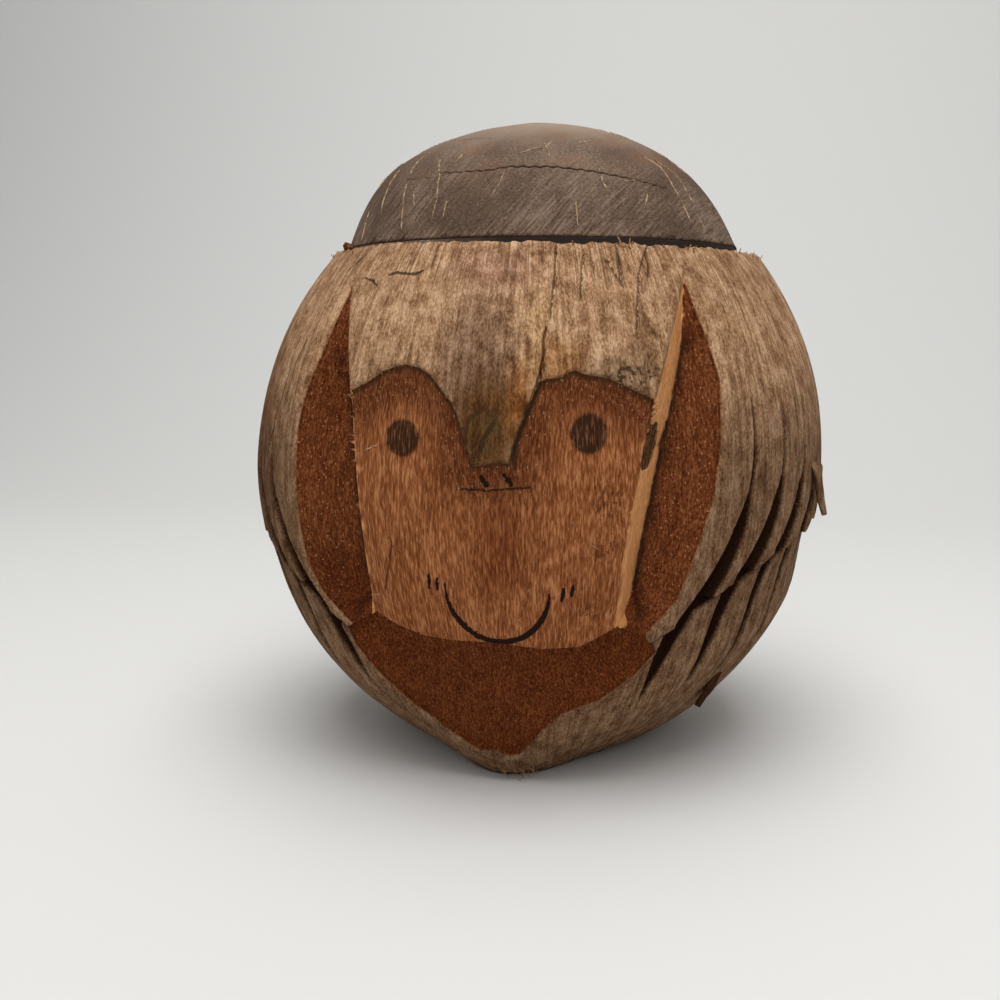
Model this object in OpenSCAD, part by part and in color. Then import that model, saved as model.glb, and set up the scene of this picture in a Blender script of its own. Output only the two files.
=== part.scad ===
// Carved coconut cup: a dry coconut whose husk is carved as a smiling animal
// head. The nut inside is the cup, and the sawn-off crown of the nut is its lid.
// Millimetres, +Z up, the face looks along -Y, the origin is the middle of the
// flat that the husk stands on.

/* [Nut] */
// Outside radius of the hard shell
nut_r = 62; // [54:0.5:70]
// Height of the saw cut above the nut's widest place
saw_rise = 26.5; // [20:0.5:32]
// Wall of the hard shell
shell_t = 4; // [2.5:0.25:6]
// Sideways place of the nut in the husk
nut_x = 1.5; // [0:0.25:2]
// Gap between the shell and the husk around it
shell_gap = 0.15; // [0.05:0.05:0.3]
// How far the cup's rim stands above the husk's sawn top
rim_stand = 1; // [0.5:0.25:2]
// Radius of the three germination pores in the bottom of the cup
pore_r = 4; // [2.5:0.5:6]
// Distance of the pores from the nut's axis
pore_pitch_r = 12; // [10:0.5:16]
// Depth of the pores
pore_depth = 1.5; // [0.5:0.25:2]

/* [Husk] */
// Thickness of the husk beside the nut, at the flats of its three-sided belly
husk_wall = 19.8; // [16:0.2:26]
// How far each of the husk's three lobes is set off the axis, which raises ridges
lobe_offset = 10; // [7:0.5:12]
// Radius of each lobe where the husk was cut flat to stand
base_r = 42.3; // [34:0.5:50]
// Thickness of the husk beside the cup, at the sawn top
rim_wall = 3.85; // [3:0.05:6]
// Reach of the chin in front of the axis, where the husk stands on the floor
chin_reach = 49; // [46:0.5:50]
// Radius of the round chin
chin_r = 15; // [12:0.5:18]
// Forward lean of the chin, in degrees
chin_lean = 31.5; // [30:0.5:33]
// Thickness of the pale rind over the fibre
rind_t = 2; // [1:0.25:3]
// Height of the rind's worn lower edge above the floor
rind_lift = 0.8; // [0.5:0.1:3]

/* [Ears] */
// Sideways distance of the left ear's tip from the axis
left_ear_tip_x = 40.5; // [39:0.5:43]
// Sideways distance of the right ear's tip from the axis
right_ear_tip_x = 44.5; // [42:0.5:46]
// Depth of the ears' tips below the sawn top
ear_tip_drop = 8; // [5:0.5:12]
// Half the distance between the lower ends of the ears' deep corners
ear_foot_x = 33.5; // [32:0.5:36]
// Depth of the lower ends of the ears' deep corners below the belly
ear_foot_drop = 32.5; // [29:0.5:34]
// Depth of the ears' lower ends below the belly
ear_low_drop = 40; // [38:0.5:42]
// Slant of the left ear's steep inner wall, in degrees
left_wall_slant = 17; // [5:1:25]
// Slant of the right ear's steep inner wall, in degrees
right_wall_slant = 11; // [5:1:25]
// Depth of the ears' floor behind the front ridge, at the belly
ear_sink = 26.4; // [23:0.2:29]
// Depth of the middle of the ears' rounded floor below the belly
ear_floor_drop = 6; // [2:0.5:8]
// Radius of the ears' rounded floor
ear_floor_r = 123; // [110:1:140]

/* [Face] */
// Depth of the lower edge of the face below the belly, in the middle
jaw_drop = 38.3; // [36:0.1:41]
// Height of the chin's tip above the floor
chin_z = 7; // [5:0.5:10]
// Half the width of the beard
beard_half_w = 41; // [38:1:44]
// Wall of fibre between the beard and the grooves of the hair
beard_wall = 1.5; // [1:0.1:2.5]
// Depth of the beard's widest place below the ears' lower ends
cheek_drop = 0.5; // [0.3:0.1:1]
// How far the jaw's corners are set in from the ears' deep corners
jaw_inset = 2.5; // [1.5:0.5:4]
// Radius of the beard's rounded floor
beard_floor_r = 66; // [64:0.5:68]
// Depth of the middle of the beard's rounded floor below the belly
beard_floor_drop = 33; // [30:0.5:36]
// Depth of the pared face below the rind's outside
face_depth = 3; // [2.5:0.1:4]
// Height of the nose's lower edge above the belly
nose_rise = 2; // [-3:0.5:6]
// Half the width of the nose
nose_half_w = 7.5; // [5:0.5:10]
// Height of the brows above the belly, at their highest
brow_rise = 30; // [26:0.5:34]
// Depth of the brows' outer ends below their highest place
brow_end_drop = 9; // [7:0.5:11]
// How much wider the nose is at its bridge than below, on each side
bridge_spread = 4; // [2:0.5:6]
// Depth of the bridge's left corner below the brows
left_bridge_drop = 6; // [4:0.5:8]
// Depth of the bridge's right corner below the brows
right_bridge_drop = 4; // [3:0.5:6]
// Half the distance between the eyes
eye_x = 22; // [18:0.5:25]
// Height of the eyes above the belly
eye_rise = 13.5; // [9:0.5:17]
// Radius of the eyes
eye_r = 4.1; // [2.5:0.1:6]
// Sideways place of the nose and the smile
smile_x = 2.5; // [-3:0.5:4]
// Depth of the middle of the smile's arc below the belly
smile_drop = 22; // [18:0.5:24]
// Radius of the smile
smile_r = 12.8; // [9:0.2:14]
// Width of the burnt smile line
smile_w = 1.4; // [0.6:0.1:2.5]
// Depth of the burnt marks
mark_depth = 0.8; // [0.4:0.1:1.5]

/* [Hair] */
// Angle from the nose to the top of the first groove of the hair, in degrees
hair_start = 50.4; // [49:0.2:54]
// Angle from one groove between the locks to the next, in degrees
hair_pitch = 9.25; // [8.5:0.25:12]
// Angle by which the grooves lean forward on their way down, in degrees
hair_lean = 7.2; // [5:0.2:9]
// Height of the grooves' upper ends above the belly
groove_rise = 20; // [18:0.5:24]
// Height above the belly from which the grooves bend forward
bend_rise = 13.5; // [10:0.5:16]
// Depth of the grooves' lower ends below the belly
groove_drop = 54; // [52:0.5:56]
// Width of the grooves beside the tips of the locks
groove_w = 3.8; // [2.5:0.1:5]
// Depth of the grooves below the rind, at their deepest
groove_depth = 6.2; // [5:0.2:7]
// Angle of the grooves' deepest place below the belly, in degrees
groove_dip = 14; // [10:1:18]
// Angle from the grooves' deepest place to where they run out, in degrees
groove_span = 31; // [28:1:34]
// Depth of the tip of the foremost lock below the belly
tip_drop = 33; // [30:0.5:36]
// How much higher than that the tips of the hindmost locks are
tip_climb = 26; // [22:0.5:28]
// Fall of a lock's slanting end for each degree that it runs forward
tip_fall = 0.7; // [0.4:0.05:0.9]
// Height of the notch under a lock's slanting end
notch_h = 3; // [2:0.1:4]

/* [Splinters] */
// Height of the peeled strip's upper end above the belly
strip_rise = 6.5; // [4:0.5:9]
// Depth of the upper end of the splinter under the hair below the belly
splinter_drop = 55.5; // [53:0.5:58]
// Width of the rind strip that has peeled off beside the belly
strip_w = 4.2; // [2:0.2:6]
// Length of the peeled strip
strip_len = 16; // [12:0.5:20]
// Thickness of the splinters
strip_t = 1.6; // [0.8:0.1:2]
// Angle by which the splinters stand off the husk, in degrees
strip_lift = 14; // [8:1:20]
// Length of the splinter under the hair
splinter_len = 12; // [8:0.5:16]
// Length of the fibre curl on the rim
curl_len = 7; // [4:0.5:10]
// Radius of the fibre curl
curl_r = 1.2; // [0.6:0.1:1.5]

/* [Hidden] */
$fn = 96;

// The husk grows round the nut: its lobes from the wall, its height from the rim
nut_rim_r = sqrt(pow(nut_r, 2) - pow(saw_rise, 2));
flat_r = nut_r + husk_wall;
lobe_r = flat_r + lobe_offset;
ridge_r = sqrt(pow(lobe_r, 2) - 0.75 * pow(lobe_offset, 2)) - lobe_offset / 2;
rim_r = nut_rim_r + rim_wall;
belly_z = sqrt(pow(lobe_r, 2) - pow(base_r, 2));
husk_h = belly_z + sqrt(pow(lobe_r, 2) - pow(rim_r + lobe_offset, 2));
rim_z = husk_h + rim_stand;
nut_z = rim_z - saw_rise;
lobe_turns = [60, 180, 300];
sides = [-1, 1];
// Beyond every surface of the husk, for cutters that run out into the open
out = 1.25 * lobe_r;
// Where the chin's middle line meets the floor
chin_foot = chin_reach - chin_r / cos(chin_lean);

// Centre of the pores' round hollows, sunk by their depth into the shell's inside
pore_z = nut_z - sqrt(pow(nut_r - shell_t - pore_r + pore_depth, 2) - pow(pore_pitch_r, 2));

// Heights on the face
ear_tip_z = husk_h - ear_tip_drop;
ear_foot_z = belly_z - ear_foot_drop;
ear_low_z = belly_z - ear_low_drop;
ear_floor_y = ridge_r - ear_sink;
jaw_z = belly_z - jaw_drop;
nose_z = belly_z + nose_rise;
brow_z = belly_z + brow_rise;
eye_z = belly_z + eye_rise;
smile_z = belly_z - smile_drop;
beard_floor_z = belly_z - beard_floor_drop;

// Corners of the face, x to the right and z up
jaw_corner = [ear_foot_x - jaw_inset, ear_foot_z];
jaw_bend = [0.6 * jaw_corner[0], jaw_z];
cheek = [beard_half_w, ear_low_z - cheek_drop];
beard_side = [0.55 * cheek[0], (chin_z + cheek[1]) / 2];
brow_end = [right_ear_tip_x, brow_z - brow_end_drop];

// Grooves on each side, and where they start and end
groove_count = floor((180 - hair_start) / hair_pitch - 0.5);
groove_top_z = belly_z + groove_rise;
groove_low_z = belly_z - groove_drop;
bend_share = 0.5;

// Places of the splinters: angle from the nose, then height
strip_place = [76, belly_z + strip_rise];
splinter_place = [62, belly_z - splinter_drop];
curl_place = [-54, husk_h];

rind_colour = [0.55, 0.43, 0.32];
fibre_colour = [0.42, 0.22, 0.12];
shell_colour = [0.27, 0.22, 0.18];
strip_colour = [0.47, 0.34, 0.23];

// The uncut husk between two heights, its three lobes set in by the inset
module uncut_husk(inset, low, high)
{
    intersection_for (turn = lobe_turns)
        rotate(turn) translate([0, lobe_offset, 0]) rotate_extrude() intersection()
        {
            translate([0, belly_z]) circle(r = lobe_r - inset);
            translate([0, low]) square([out, high - low]);
        }
}

// A slab across everything between two heights
module level(low, high)
{
    translate([-out, -out, low]) cube([2 * out, 2 * out, high - low]);
}

// The round chin of fibre, which comes forward through the rind, from the floor up to the jaw
module chin()
{
    intersection()
    {
        translate([0, -chin_foot, 0]) rotate([chin_lean, 0, 0]) translate([0, 0, -chin_r])
            cylinder(r = chin_r, h = chin_r + jaw_z / cos(chin_lean));
        level(0, husk_h);
    }
}

// The hard shell's own outside, grown by a gap
module nut_outside(grow)
{
    translate([nut_x, 0, nut_z]) sphere(r = nut_r + grow);
}

// A flat shape in the face's plane, run out through the front of the husk
module through_front()
{
    rotate([90, 0, 0]) linear_extrude(out) children();
}

// A flat shape in the face's plane, cut to a depth below the rind's outside
module carve_front(depth)
{
    difference()
    {
        through_front() children();
        uncut_husk(depth, 0, husk_h);
    }
}

// One ear: a steep wall beside the face and a rounded floor that faces forward
module ear_cut(side)
{
    tip_x = side < 0 ? left_ear_tip_x : right_ear_tip_x;
    slant = side < 0 ? left_wall_slant : right_wall_slant;
    tilt = atan2(tip_x - ear_foot_x, ear_tip_z - ear_foot_z);
    mirror([side < 0 ? 1 : 0, 0, 0]) difference()
    {
        intersection()
        {
            translate([ear_foot_x, -ear_floor_y, ear_foot_z]) rotate([0, tilt, 0]) translate([0, 0, -out])
                linear_extrude(2 * out)
                    polygon([[0, 0], [0, out / 2], [out, out / 2], [out, -out], [-out * tan(slant), -out]]);
            level(ear_low_z, ear_tip_z);
        }
        translate([-out, ear_floor_r - ear_floor_y, belly_z - ear_floor_drop]) rotate([0, 90, 0])
            cylinder(r = ear_floor_r, h = 3 * out);
    }
}

// The beard's outline: the jaw above, a point at the chin below, its sides grown by a wall
module beard_outline(grow)
{
    side = [grow, 0];
    polygon([
        [-cheek[0] - grow, cheek[1]], [-jaw_corner[0] - grow, jaw_corner[1]], [-jaw_bend[0], jaw_bend[1]],
        jaw_bend, jaw_corner + side, cheek + side, beard_side + side, [0, chin_z],
        [-beard_side[0] - grow, beard_side[1]]
    ]);
}

// The beard: its outline run in from the front, down to a rounded floor
module beard_cut()
{
    difference()
    {
        through_front() beard_outline(0);
        translate([0, 0, beard_floor_z]) sphere(r = beard_floor_r);
    }
}

// The face's window in the rind, with the nose left standing between the eyes
module face_outline()
{
    bridge_half_w = nose_half_w + bridge_spread;
    polygon([
        [-brow_end[0], brow_end[1]], [-eye_x, brow_z], [smile_x - bridge_half_w, brow_z - left_bridge_drop],
        [smile_x - nose_half_w, nose_z], [smile_x + nose_half_w, nose_z],
        [smile_x + bridge_half_w, brow_z - right_bridge_drop], [eye_x, brow_z], brow_end,
        [ear_foot_x, jaw_z], [-ear_foot_x, jaw_z]
    ]);
}

// The smile, a half ring with a burnt line's width
module smile_outline()
{
    translate([smile_x, smile_z]) difference()
    {
        circle(r = smile_r + smile_w / 2);
        circle(r = smile_r - smile_w / 2);
        translate([-out, 0]) square([2 * out, out]);
    }
}

// Burnt eyes and smile, sunk a little below the face
module burnt_marks()
{
    carve_front(face_depth + mark_depth)
    {
        smile_outline();
        for (side = sides) translate([side * eye_x, eye_z]) circle(r = eye_r);
    }
}

// Radius of the rind at the belly, for an angle from the nose between 0 and 180
function skin_r(turn) = let (off = turn - (turn < 120 ? 60 : 180))
    sqrt(pow(lobe_r, 2) - pow(lobe_offset * sin(off), 2)) - lobe_offset * cos(off);

// A place on the rind, seen along a groove's middle: angle from there, then height
function on_rind(skin, turn, height) = let (lat = asin((height - belly_z) / skin)) skin * [
    cos(lat) * sin(turn),
    sin(lat) * cos(groove_dip) + cos(lat) * cos(turn) * sin(groove_dip)
];

// A flat shape, cut into the rind at an angle from the nose down to an arc that runs out at both ends
module carve_hair(turn)
{
    skin = skin_r(turn);
    floor_r = skin - groove_depth;
    back = (pow(skin, 2) - pow(floor_r, 2)) / (2 * (floor_r - skin * cos(groove_span)));
    rotate([90, 0, turn - 90]) translate([0, belly_z, 0]) rotate([0, 0, -groove_dip]) difference()
    {
        translate([skin / 2, 0, 0]) rotate([0, 90, 0]) linear_extrude(out) children();
        translate([-back, 0, 0]) cylinder(r = floor_r + back, h = out, center = true);
    }
}

// Groove number i of one side: it bends forward, and a notch under the lock in front of it branches off
module groove(i)
{
    tip_z = belly_z - tip_drop + tip_climb * (1 - exp(-i / 2.2));
    lean = hair_lean * (1 - i / (groove_count + 2)) + 4 * exp(-i);
    turn = hair_start + i * hair_pitch - lean;
    skin = skin_r(turn);
    bend = on_rind(skin, 0.78 * lean, tip_z + bend_share * (belly_z + bend_rise - tip_z));
    tip = on_rind(skin, 0, tip_z);
    notch_turn = 0.85 * hair_pitch;
    carve_hair(turn) polygon([
        on_rind(skin, lean, groove_top_z), bend - [groove_w / 3, 0], tip - [groove_w / 2, 0],
        on_rind(skin, -notch_turn, tip_z - notch_turn * tip_fall - notch_h / 2), tip - [groove_w / 2, 1.3 * notch_h],
        on_rind(skin, -hair_pitch / 2, groove_low_z), tip + [groove_w / 2, 0], bend + [groove_w / 3, 0]
    ]);
}

// Grooves on both sides and one in the middle of the back, none across the face or into the beard
module hair_cut()
{
    for (side = sides) mirror([side < 0 ? 1 : 0, 0, 0]) difference()
    {
        for (i = [0 : groove_count]) groove(i);
        through_front() beard_outline(beard_wall);
    }
    carve_hair(180) polygon([
        on_rind(flat_r, 0, groove_top_z), [-groove_w / 2, 0], on_rind(flat_r, 0, groove_low_z), [groove_w / 2, 0]
    ]);
}

// Everything that the knife took out of both the rind and the fibre
module carving()
{
    for (side = sides) ear_cut(side);
    beard_cut();
    hair_cut();
}

// The fibre body of the husk
module husk()
{
    color(fibre_colour) difference()
    {
        union()
        {
            uncut_husk(rind_t, 0, husk_h);
            chin();
        }
        carving();
        carve_front(face_depth) face_outline();
        burnt_marks();
        nut_outside(shell_gap);
    }
}

// The pale rind that the knife left on the husk
module rind()
{
    color(rind_colour) difference()
    {
        uncut_husk(0, rind_lift, husk_h);
        uncut_husk(rind_t, 0, husk_h + rind_t);
        chin();
        carving();
        through_front() face_outline();
        nut_outside(shell_gap);
    }
}

// The cup: the nut's hard shell, sawn off above the husk, with three pores inside
module shell_cup()
{
    color(shell_colour) difference()
    {
        intersection()
        {
            nut_outside(0);
            level(0, rim_z);
        }
        nut_outside(-shell_t);
        translate([nut_x, 0, pore_z]) for (turn = [0 : 120 : 240])
            rotate(turn) translate([pore_pitch_r, 0, 0]) sphere(r = pore_r);
    }
}

// The lid: the nut's crown, which rests on the cup's rim
module shell_lid()
{
    color(shell_colour) intersection()
    {
        difference()
        {
            nut_outside(0);
            nut_outside(-shell_t);
        }
        level(rim_z, nut_z + 2 * nut_r);
    }
}

// A tapered plate that stands off the rind, its upper end against it
module splinter(place, len, wide)
{
    surface_r = sqrt(pow(lobe_r, 2) - pow(place[1] - len / 4 - belly_z, 2)) - lobe_offset;
    difference()
    {
        rotate(place[0]) translate([0, -surface_r, place[1]]) rotate([90 - strip_lift, 0, 0])
            linear_extrude(strip_t)
                polygon([[-wide / 2, 0], [wide / 2, 0], [wide / 4, -len], [-wide / 4, -len]]);
        uncut_husk(0, 0, husk_h);
    }
}

// The strip of rind that hangs beside the belly
module peeled_strip()
{
    color(strip_colour) splinter(strip_place, strip_len, strip_w);
}

// The splinter that hangs under the hair
module base_splinter()
{
    color(strip_colour) splinter(splinter_place, splinter_len, strip_w / 2);
}

// The curl of fibre that lies on the husk's sawn top
module rim_curl()
{
    color(strip_colour) intersection()
    {
        rotate(curl_place[0]) translate([-curl_len / 2, -(rim_r + nut_rim_r) / 2, curl_place[1]])
            rotate([0, 90, 0]) cylinder(r = curl_r, h = curl_len);
        level(husk_h, husk_h + 2 * curl_r);
    }
}

husk();
rind();
shell_cup();
shell_lid();
peeled_strip();
base_splinter();
rim_curl();
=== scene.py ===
# %% [markdown]
# # A carved coconut cup
#
# The object is a whole dry coconut. Its husk is carved as a smiling animal head,
# the nut inside is the cup, and the sawn-off crown of the nut is the lid. This
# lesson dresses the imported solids: the frame is loaded first, and every piece is
# then made in the same place and at the same size, in millimetres, and written
# to Blender in metres.

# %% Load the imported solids
import itertools

import bpy
import numpy as np
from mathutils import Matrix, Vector


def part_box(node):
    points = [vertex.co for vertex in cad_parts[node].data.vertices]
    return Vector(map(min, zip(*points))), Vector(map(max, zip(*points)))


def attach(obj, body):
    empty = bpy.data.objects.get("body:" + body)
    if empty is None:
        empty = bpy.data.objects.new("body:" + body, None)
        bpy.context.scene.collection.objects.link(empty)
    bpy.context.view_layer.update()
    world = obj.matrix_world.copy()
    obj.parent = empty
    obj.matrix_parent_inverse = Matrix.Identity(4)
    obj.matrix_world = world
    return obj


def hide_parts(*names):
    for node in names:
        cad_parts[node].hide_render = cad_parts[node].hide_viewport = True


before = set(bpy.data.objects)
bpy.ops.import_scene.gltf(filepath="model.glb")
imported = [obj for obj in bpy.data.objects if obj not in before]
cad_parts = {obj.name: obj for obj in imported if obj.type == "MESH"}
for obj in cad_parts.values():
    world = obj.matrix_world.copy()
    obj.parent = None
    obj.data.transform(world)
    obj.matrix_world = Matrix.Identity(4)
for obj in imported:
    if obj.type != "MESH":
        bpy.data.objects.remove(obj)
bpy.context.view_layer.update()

MM = 0.001
_, husk_high = (np.array(corner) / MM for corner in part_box("husk"))
lid_low, lid_high = (np.array(corner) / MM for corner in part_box("shell_lid"))
print("nodes:", sorted(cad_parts), "husk top at", round(husk_high[2], 2), "mm")

# %% [markdown]
# ## Sizes that the pieces share
#
# The nut is close to a ball, so its radius follows from the lid: a cap's height
# and the radius of its rim give the ball that it was sawn from. The husk is
# three-sided, as every coconut husk is: three balls of the same radius, each set
# a little off the axis, meet in three rounded ridges. One ridge is the nose.

# %% Shared sizes
HUSK_TOP = husk_high[2]
LID_Z = lid_low[2]
LID_RISE = lid_high[2] - lid_low[2]
RIM_R = (lid_high[0] - lid_low[0]) / 2
NUT_X = (lid_high[0] + lid_low[0]) / 2
NUT_R = (RIM_R ** 2 + LID_RISE ** 2) / (2 * LID_RISE)
NUT_Z = lid_high[2] - NUT_R
SHELL_T = 4.0
SHELL_GAP = 0.15
LOBE_R = 91.8
LOBE_OFFSET = 10.0
BELLY_Z = 81.47
RIDGE_ROUND = 1.6
RIND_T = 1.0
print("nut radius", round(NUT_R, 2), "centre height", round(NUT_Z, 2))

# %% [markdown]
# ## Camera
#
# The photograph was taken from close by, a little to the right of the nose and
# from just above the middle of the head. The camera stands on that spot and looks
# down by a few degrees. A close camera shows the lid's rim as a shallow curve and
# lets the ear on the left turn away, so the distance matters as much as the angle.

# %% Camera
CAMERA_REACH = 350.0
CAMERA_TURN = np.radians(9.0)
CAMERA_Z = 117.6
CAMERA_DIP = np.radians(7.924)
CAMERA_YAW = np.radians(1.744)
LENS = 42.16
SENSOR = 36.0


def place_camera():
    """Stands the camera at the photograph's spot and aims it a little left of the axis."""
    spot = Vector((np.sin(CAMERA_TURN), -np.cos(CAMERA_TURN), 0)) * CAMERA_REACH
    heading = CAMERA_TURN + CAMERA_YAW
    data = bpy.data.cameras.new("camera")
    data.lens = LENS
    data.sensor_width = SENSOR
    camera = bpy.data.objects.new("camera", data)
    camera.location = (spot + Vector((0, 0, CAMERA_Z))) * MM
    camera.rotation_euler = (np.pi / 2 - CAMERA_DIP, 0, heading)
    bpy.context.scene.collection.objects.link(camera)
    bpy.context.scene.camera = camera
    return camera


print("camera at", [round(v, 4) for v in place_camera().location])

# %% [markdown]
# ## Curves and noise that the carving uses
#
# The husk is made as numbers first. A few small functions are enough: a soft
# step, a line through a few points, lumps of smooth noise, and the distance to a
# path or a closed outline drawn on the face. The noise table has a fixed seed, so
# each run gives the same wood.

# %% Helpers for the form
NOISE_SEED = 11
NOISE_CELLS = 24
NOISE_SHIFT = 7.3
LATTICE = np.random.default_rng(NOISE_SEED).random((NOISE_CELLS,) * 3)


def soft_step(low, high, value):
    """0 below low, 1 above high, and a smooth rise between them."""
    t = np.clip((value - low) / (high - low), 0, 1)
    return t * t * (3 - 2 * t)


def line(value, *points):
    """The height at value of a line through points given from left to right."""
    where, height = zip(*points)
    return np.interp(value, where, height)


def lumps(points, size):
    """Smooth noise from -1 to 1, with lumps of the given size along each axis."""
    q = points / size + NOISE_SHIFT
    cell = np.floor(q).astype(int)
    t = q - cell
    t = t * t * (3 - 2 * t)
    total = 0
    for corner in itertools.product((0, 1), repeat=3):
        share = np.where(corner, t, 1 - t).prod(axis=1)
        total = total + share * LATTICE[tuple(((cell + corner) % NOISE_CELLS).T)]
    return 2 * total - 1


def layered(points, layers):
    """Several layers of lumps, each given by its rise and its size."""
    return sum(rise * lumps(points, size) for rise, size in layers)


def path_distance(x, z, path):
    """Distance to the nearest leg of a path on the face."""
    near = np.inf
    for (x0, z0), (x1, z1) in zip(path, path[1:]):
        ex, ez = x1 - x0, z1 - z0
        t = np.clip(((x - x0) * ex + (z - z0) * ez) / (ex * ex + ez * ez), 0, 1)
        near = np.minimum(near, np.hypot(x - x0 - t * ex, z - z0 - t * ez))
    return near


def inside_outline(x, z, corners):
    """Distance to a closed outline on the face, positive inside it."""
    closed = corners + corners[:1]
    inside = np.zeros(x.shape, bool)
    for (x0, z0), (x1, z1) in zip(closed, closed[1:]):
        if z0 != z1:
            inside ^= ((z0 <= z) != (z1 <= z)) & (x < x0 + (z - z0) * (x1 - x0) / (z1 - z0))
    near = path_distance(x, z, closed)
    return np.where(inside, near, -near)


print("noise table", LATTICE.shape, "mean", round(LATTICE.mean(), 3))

# %% [markdown]
# ## The uncut husk
#
# A point of the husk is found by a ray from the middle of the belly: a turn round
# the axis from the nose, and a slope up from straight down. Each of the three
# balls gives a reach along the ray, and the shortest wins. A soft minimum rounds
# the ridges as rind does. The dry husk isn't true: it leans to one side at the
# top, and the chin is fuller. Lumps and ribs come later, with the knife's cuts.

# %% Uncut husk
BELLY = np.array([0, 0, BELLY_Z])
FLATS = np.radians((60, 180, 300))
LEAN = 2.2
CHIN_BULGE, CHIN_LOW, CHIN_HIGH = 6.0, 2, 32
CHIN_SPREAD = np.radians(20)
LEAST_SLOPE, MOST_SLOPE = 0.2, 2.6
HALVINGS = 40


def direction(turn, slope):
    """Unit vectors for a turn from the nose and a slope from straight down, in radians."""
    level = np.sin(slope)
    return np.stack([level * np.sin(turn), -level * np.cos(turn), -np.cos(slope)], axis=-1)


def uncut_reach(turn, slope):
    """Reach of the uncut rind from the middle of the belly along each ray."""
    d = direction(turn, slope)
    reach = []
    for flat in FLATS:
        along = LOBE_OFFSET * (d[:, 1] * np.cos(flat) - d[:, 0] * np.sin(flat))
        reach.append(along + np.sqrt(along ** 2 + LOBE_R ** 2 - LOBE_OFFSET ** 2))
    least = np.min(reach, axis=0)
    crowd = sum(np.exp((least - r) / RIDGE_ROUND) for r in reach)
    least = least - RIDGE_ROUND * np.log(crowd)
    z = BELLY_Z + least * d[:, 2]
    above = np.clip((z - BELLY_Z) / (HUSK_TOP - BELLY_Z), 0, 1)
    chin = np.exp(-(turn / CHIN_SPREAD) ** 2) * (1 - soft_step(CHIN_LOW, CHIN_HIGH, z))
    return least + LEAN * above * d[:, 0] + CHIN_BULGE * chin


def slope_at(turn, height):
    """Slope of the ray that meets the uncut rind at a height, found by halving."""
    low = np.full(turn.shape, LEAST_SLOPE)
    high = np.full(turn.shape, MOST_SLOPE)
    for _ in range(HALVINGS):
        middle = (low + high) / 2
        over = BELLY_Z - uncut_reach(turn, middle) * np.cos(middle) > height
        high = np.where(over, middle, high)
        low = np.where(over, low, middle)
    return middle


TURNS = np.radians(np.arange(-180, 181))
BASE_SLOPE = slope_at(TURNS, np.zeros(TURNS.shape))
TOP_SLOPE = slope_at(TURNS, np.full(TURNS.shape, HUSK_TOP))
print("base and top slopes at the nose:", np.degrees([BASE_SLOPE[180], TOP_SLOPE[180]]).round(1))

# %% [markdown]
# ## The carving of the face
#
# The carver left rind on the forehead and down the nose, pared the rest of the
# face flat, cut an ear on each side with a steep wall beside the face, and took
# out a deeper V below the jaw for the beard. Each cut is a depth below the uncut
# rind. Where cuts meet, the deepest counts, so the edges stay as crisp as a
# knife's. The outlines are the face's own corner points, in millimetres.

# %% Face outlines
FOREHEAD = [
    (-60, 160), (60, 160), (60, 95), (44, 100), (38.4, 103.1), (36.5, 104.1), (33.5, 105.5),
    (30.5, 106.9), (28.4, 108.1), (25.1, 108.5), (22.8, 109), (20.8, 109.9), (19.2, 109.4),
    (18.2, 108.3), (14.6, 108), (13, 107.2), (10.9, 101.4), (9.4, 97.3), (7.8, 92.6), (6.7, 89.1),
    (4.5, 89.3), (-1, 88.3), (-2.1, 91.2), (-3.5, 95.2), (-4.9, 99.5), (-6.4, 102.2), (-8.8, 104.9),
    (-12.2, 108.7), (-15.1, 110.3), (-18.7, 111), (-21.7, 110.5), (-25, 109.5), (-28.3, 107.3),
    (-32.7, 105.1), (-40, 101), (-60, 95)]
NOSE_TIP = [(-4.4, 82.4), (3.9, 82.6), (11.4, 83.6), (7.6, 90.2), (-1.6, 90)]
JAW = [
    (-29.6, 49.6), (-24.3, 47), (-17.5, 44.6), (-9.5, 43.6), (3.1, 43.2), (12.6, 42.1),
    (21.6, 42.6), (26.9, 45.4), (31, 48)]
CHIN = [
    (37.6, 44.3), (39.4, 40.6), (34.2, 34), (26, 27.5), (16.2, 23.2), (11.3, 18.2), (7.3, 12.6),
    (4.4, 9.2), (0.3, 9.0), (-0.9, 11.2), (-5.5, 10.1), (-8.3, 11.7), (-12.3, 14.7), (-17, 18.5),
    (-23.4, 22.7), (-31.4, 30.1), (-37.6, 38.1), (-39.2, 43.6)]
BEARD = JAW + CHIN
BEARD_RISE = ((8, 0.42), (26, 0.55), (36, 1.5), (44, 2.4))
BEARD_DEPTH, BEARD_SIDES, BEARD_HALF = 8.6, 3.6, 33
FACE_DEPTH = 2.9
BROW_STEP = RIND_T + 0.35
PARED = 2.3
MUZZLE_X, MUZZLE_SPREAD, MUZZLE_DEPTH = 2, 16, 1.5
NOSE_Z, NOSE_SLANT = 89.3, 0.2
print(len(FOREHEAD), "corners round the forehead,", len(BEARD), "round the beard")

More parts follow.
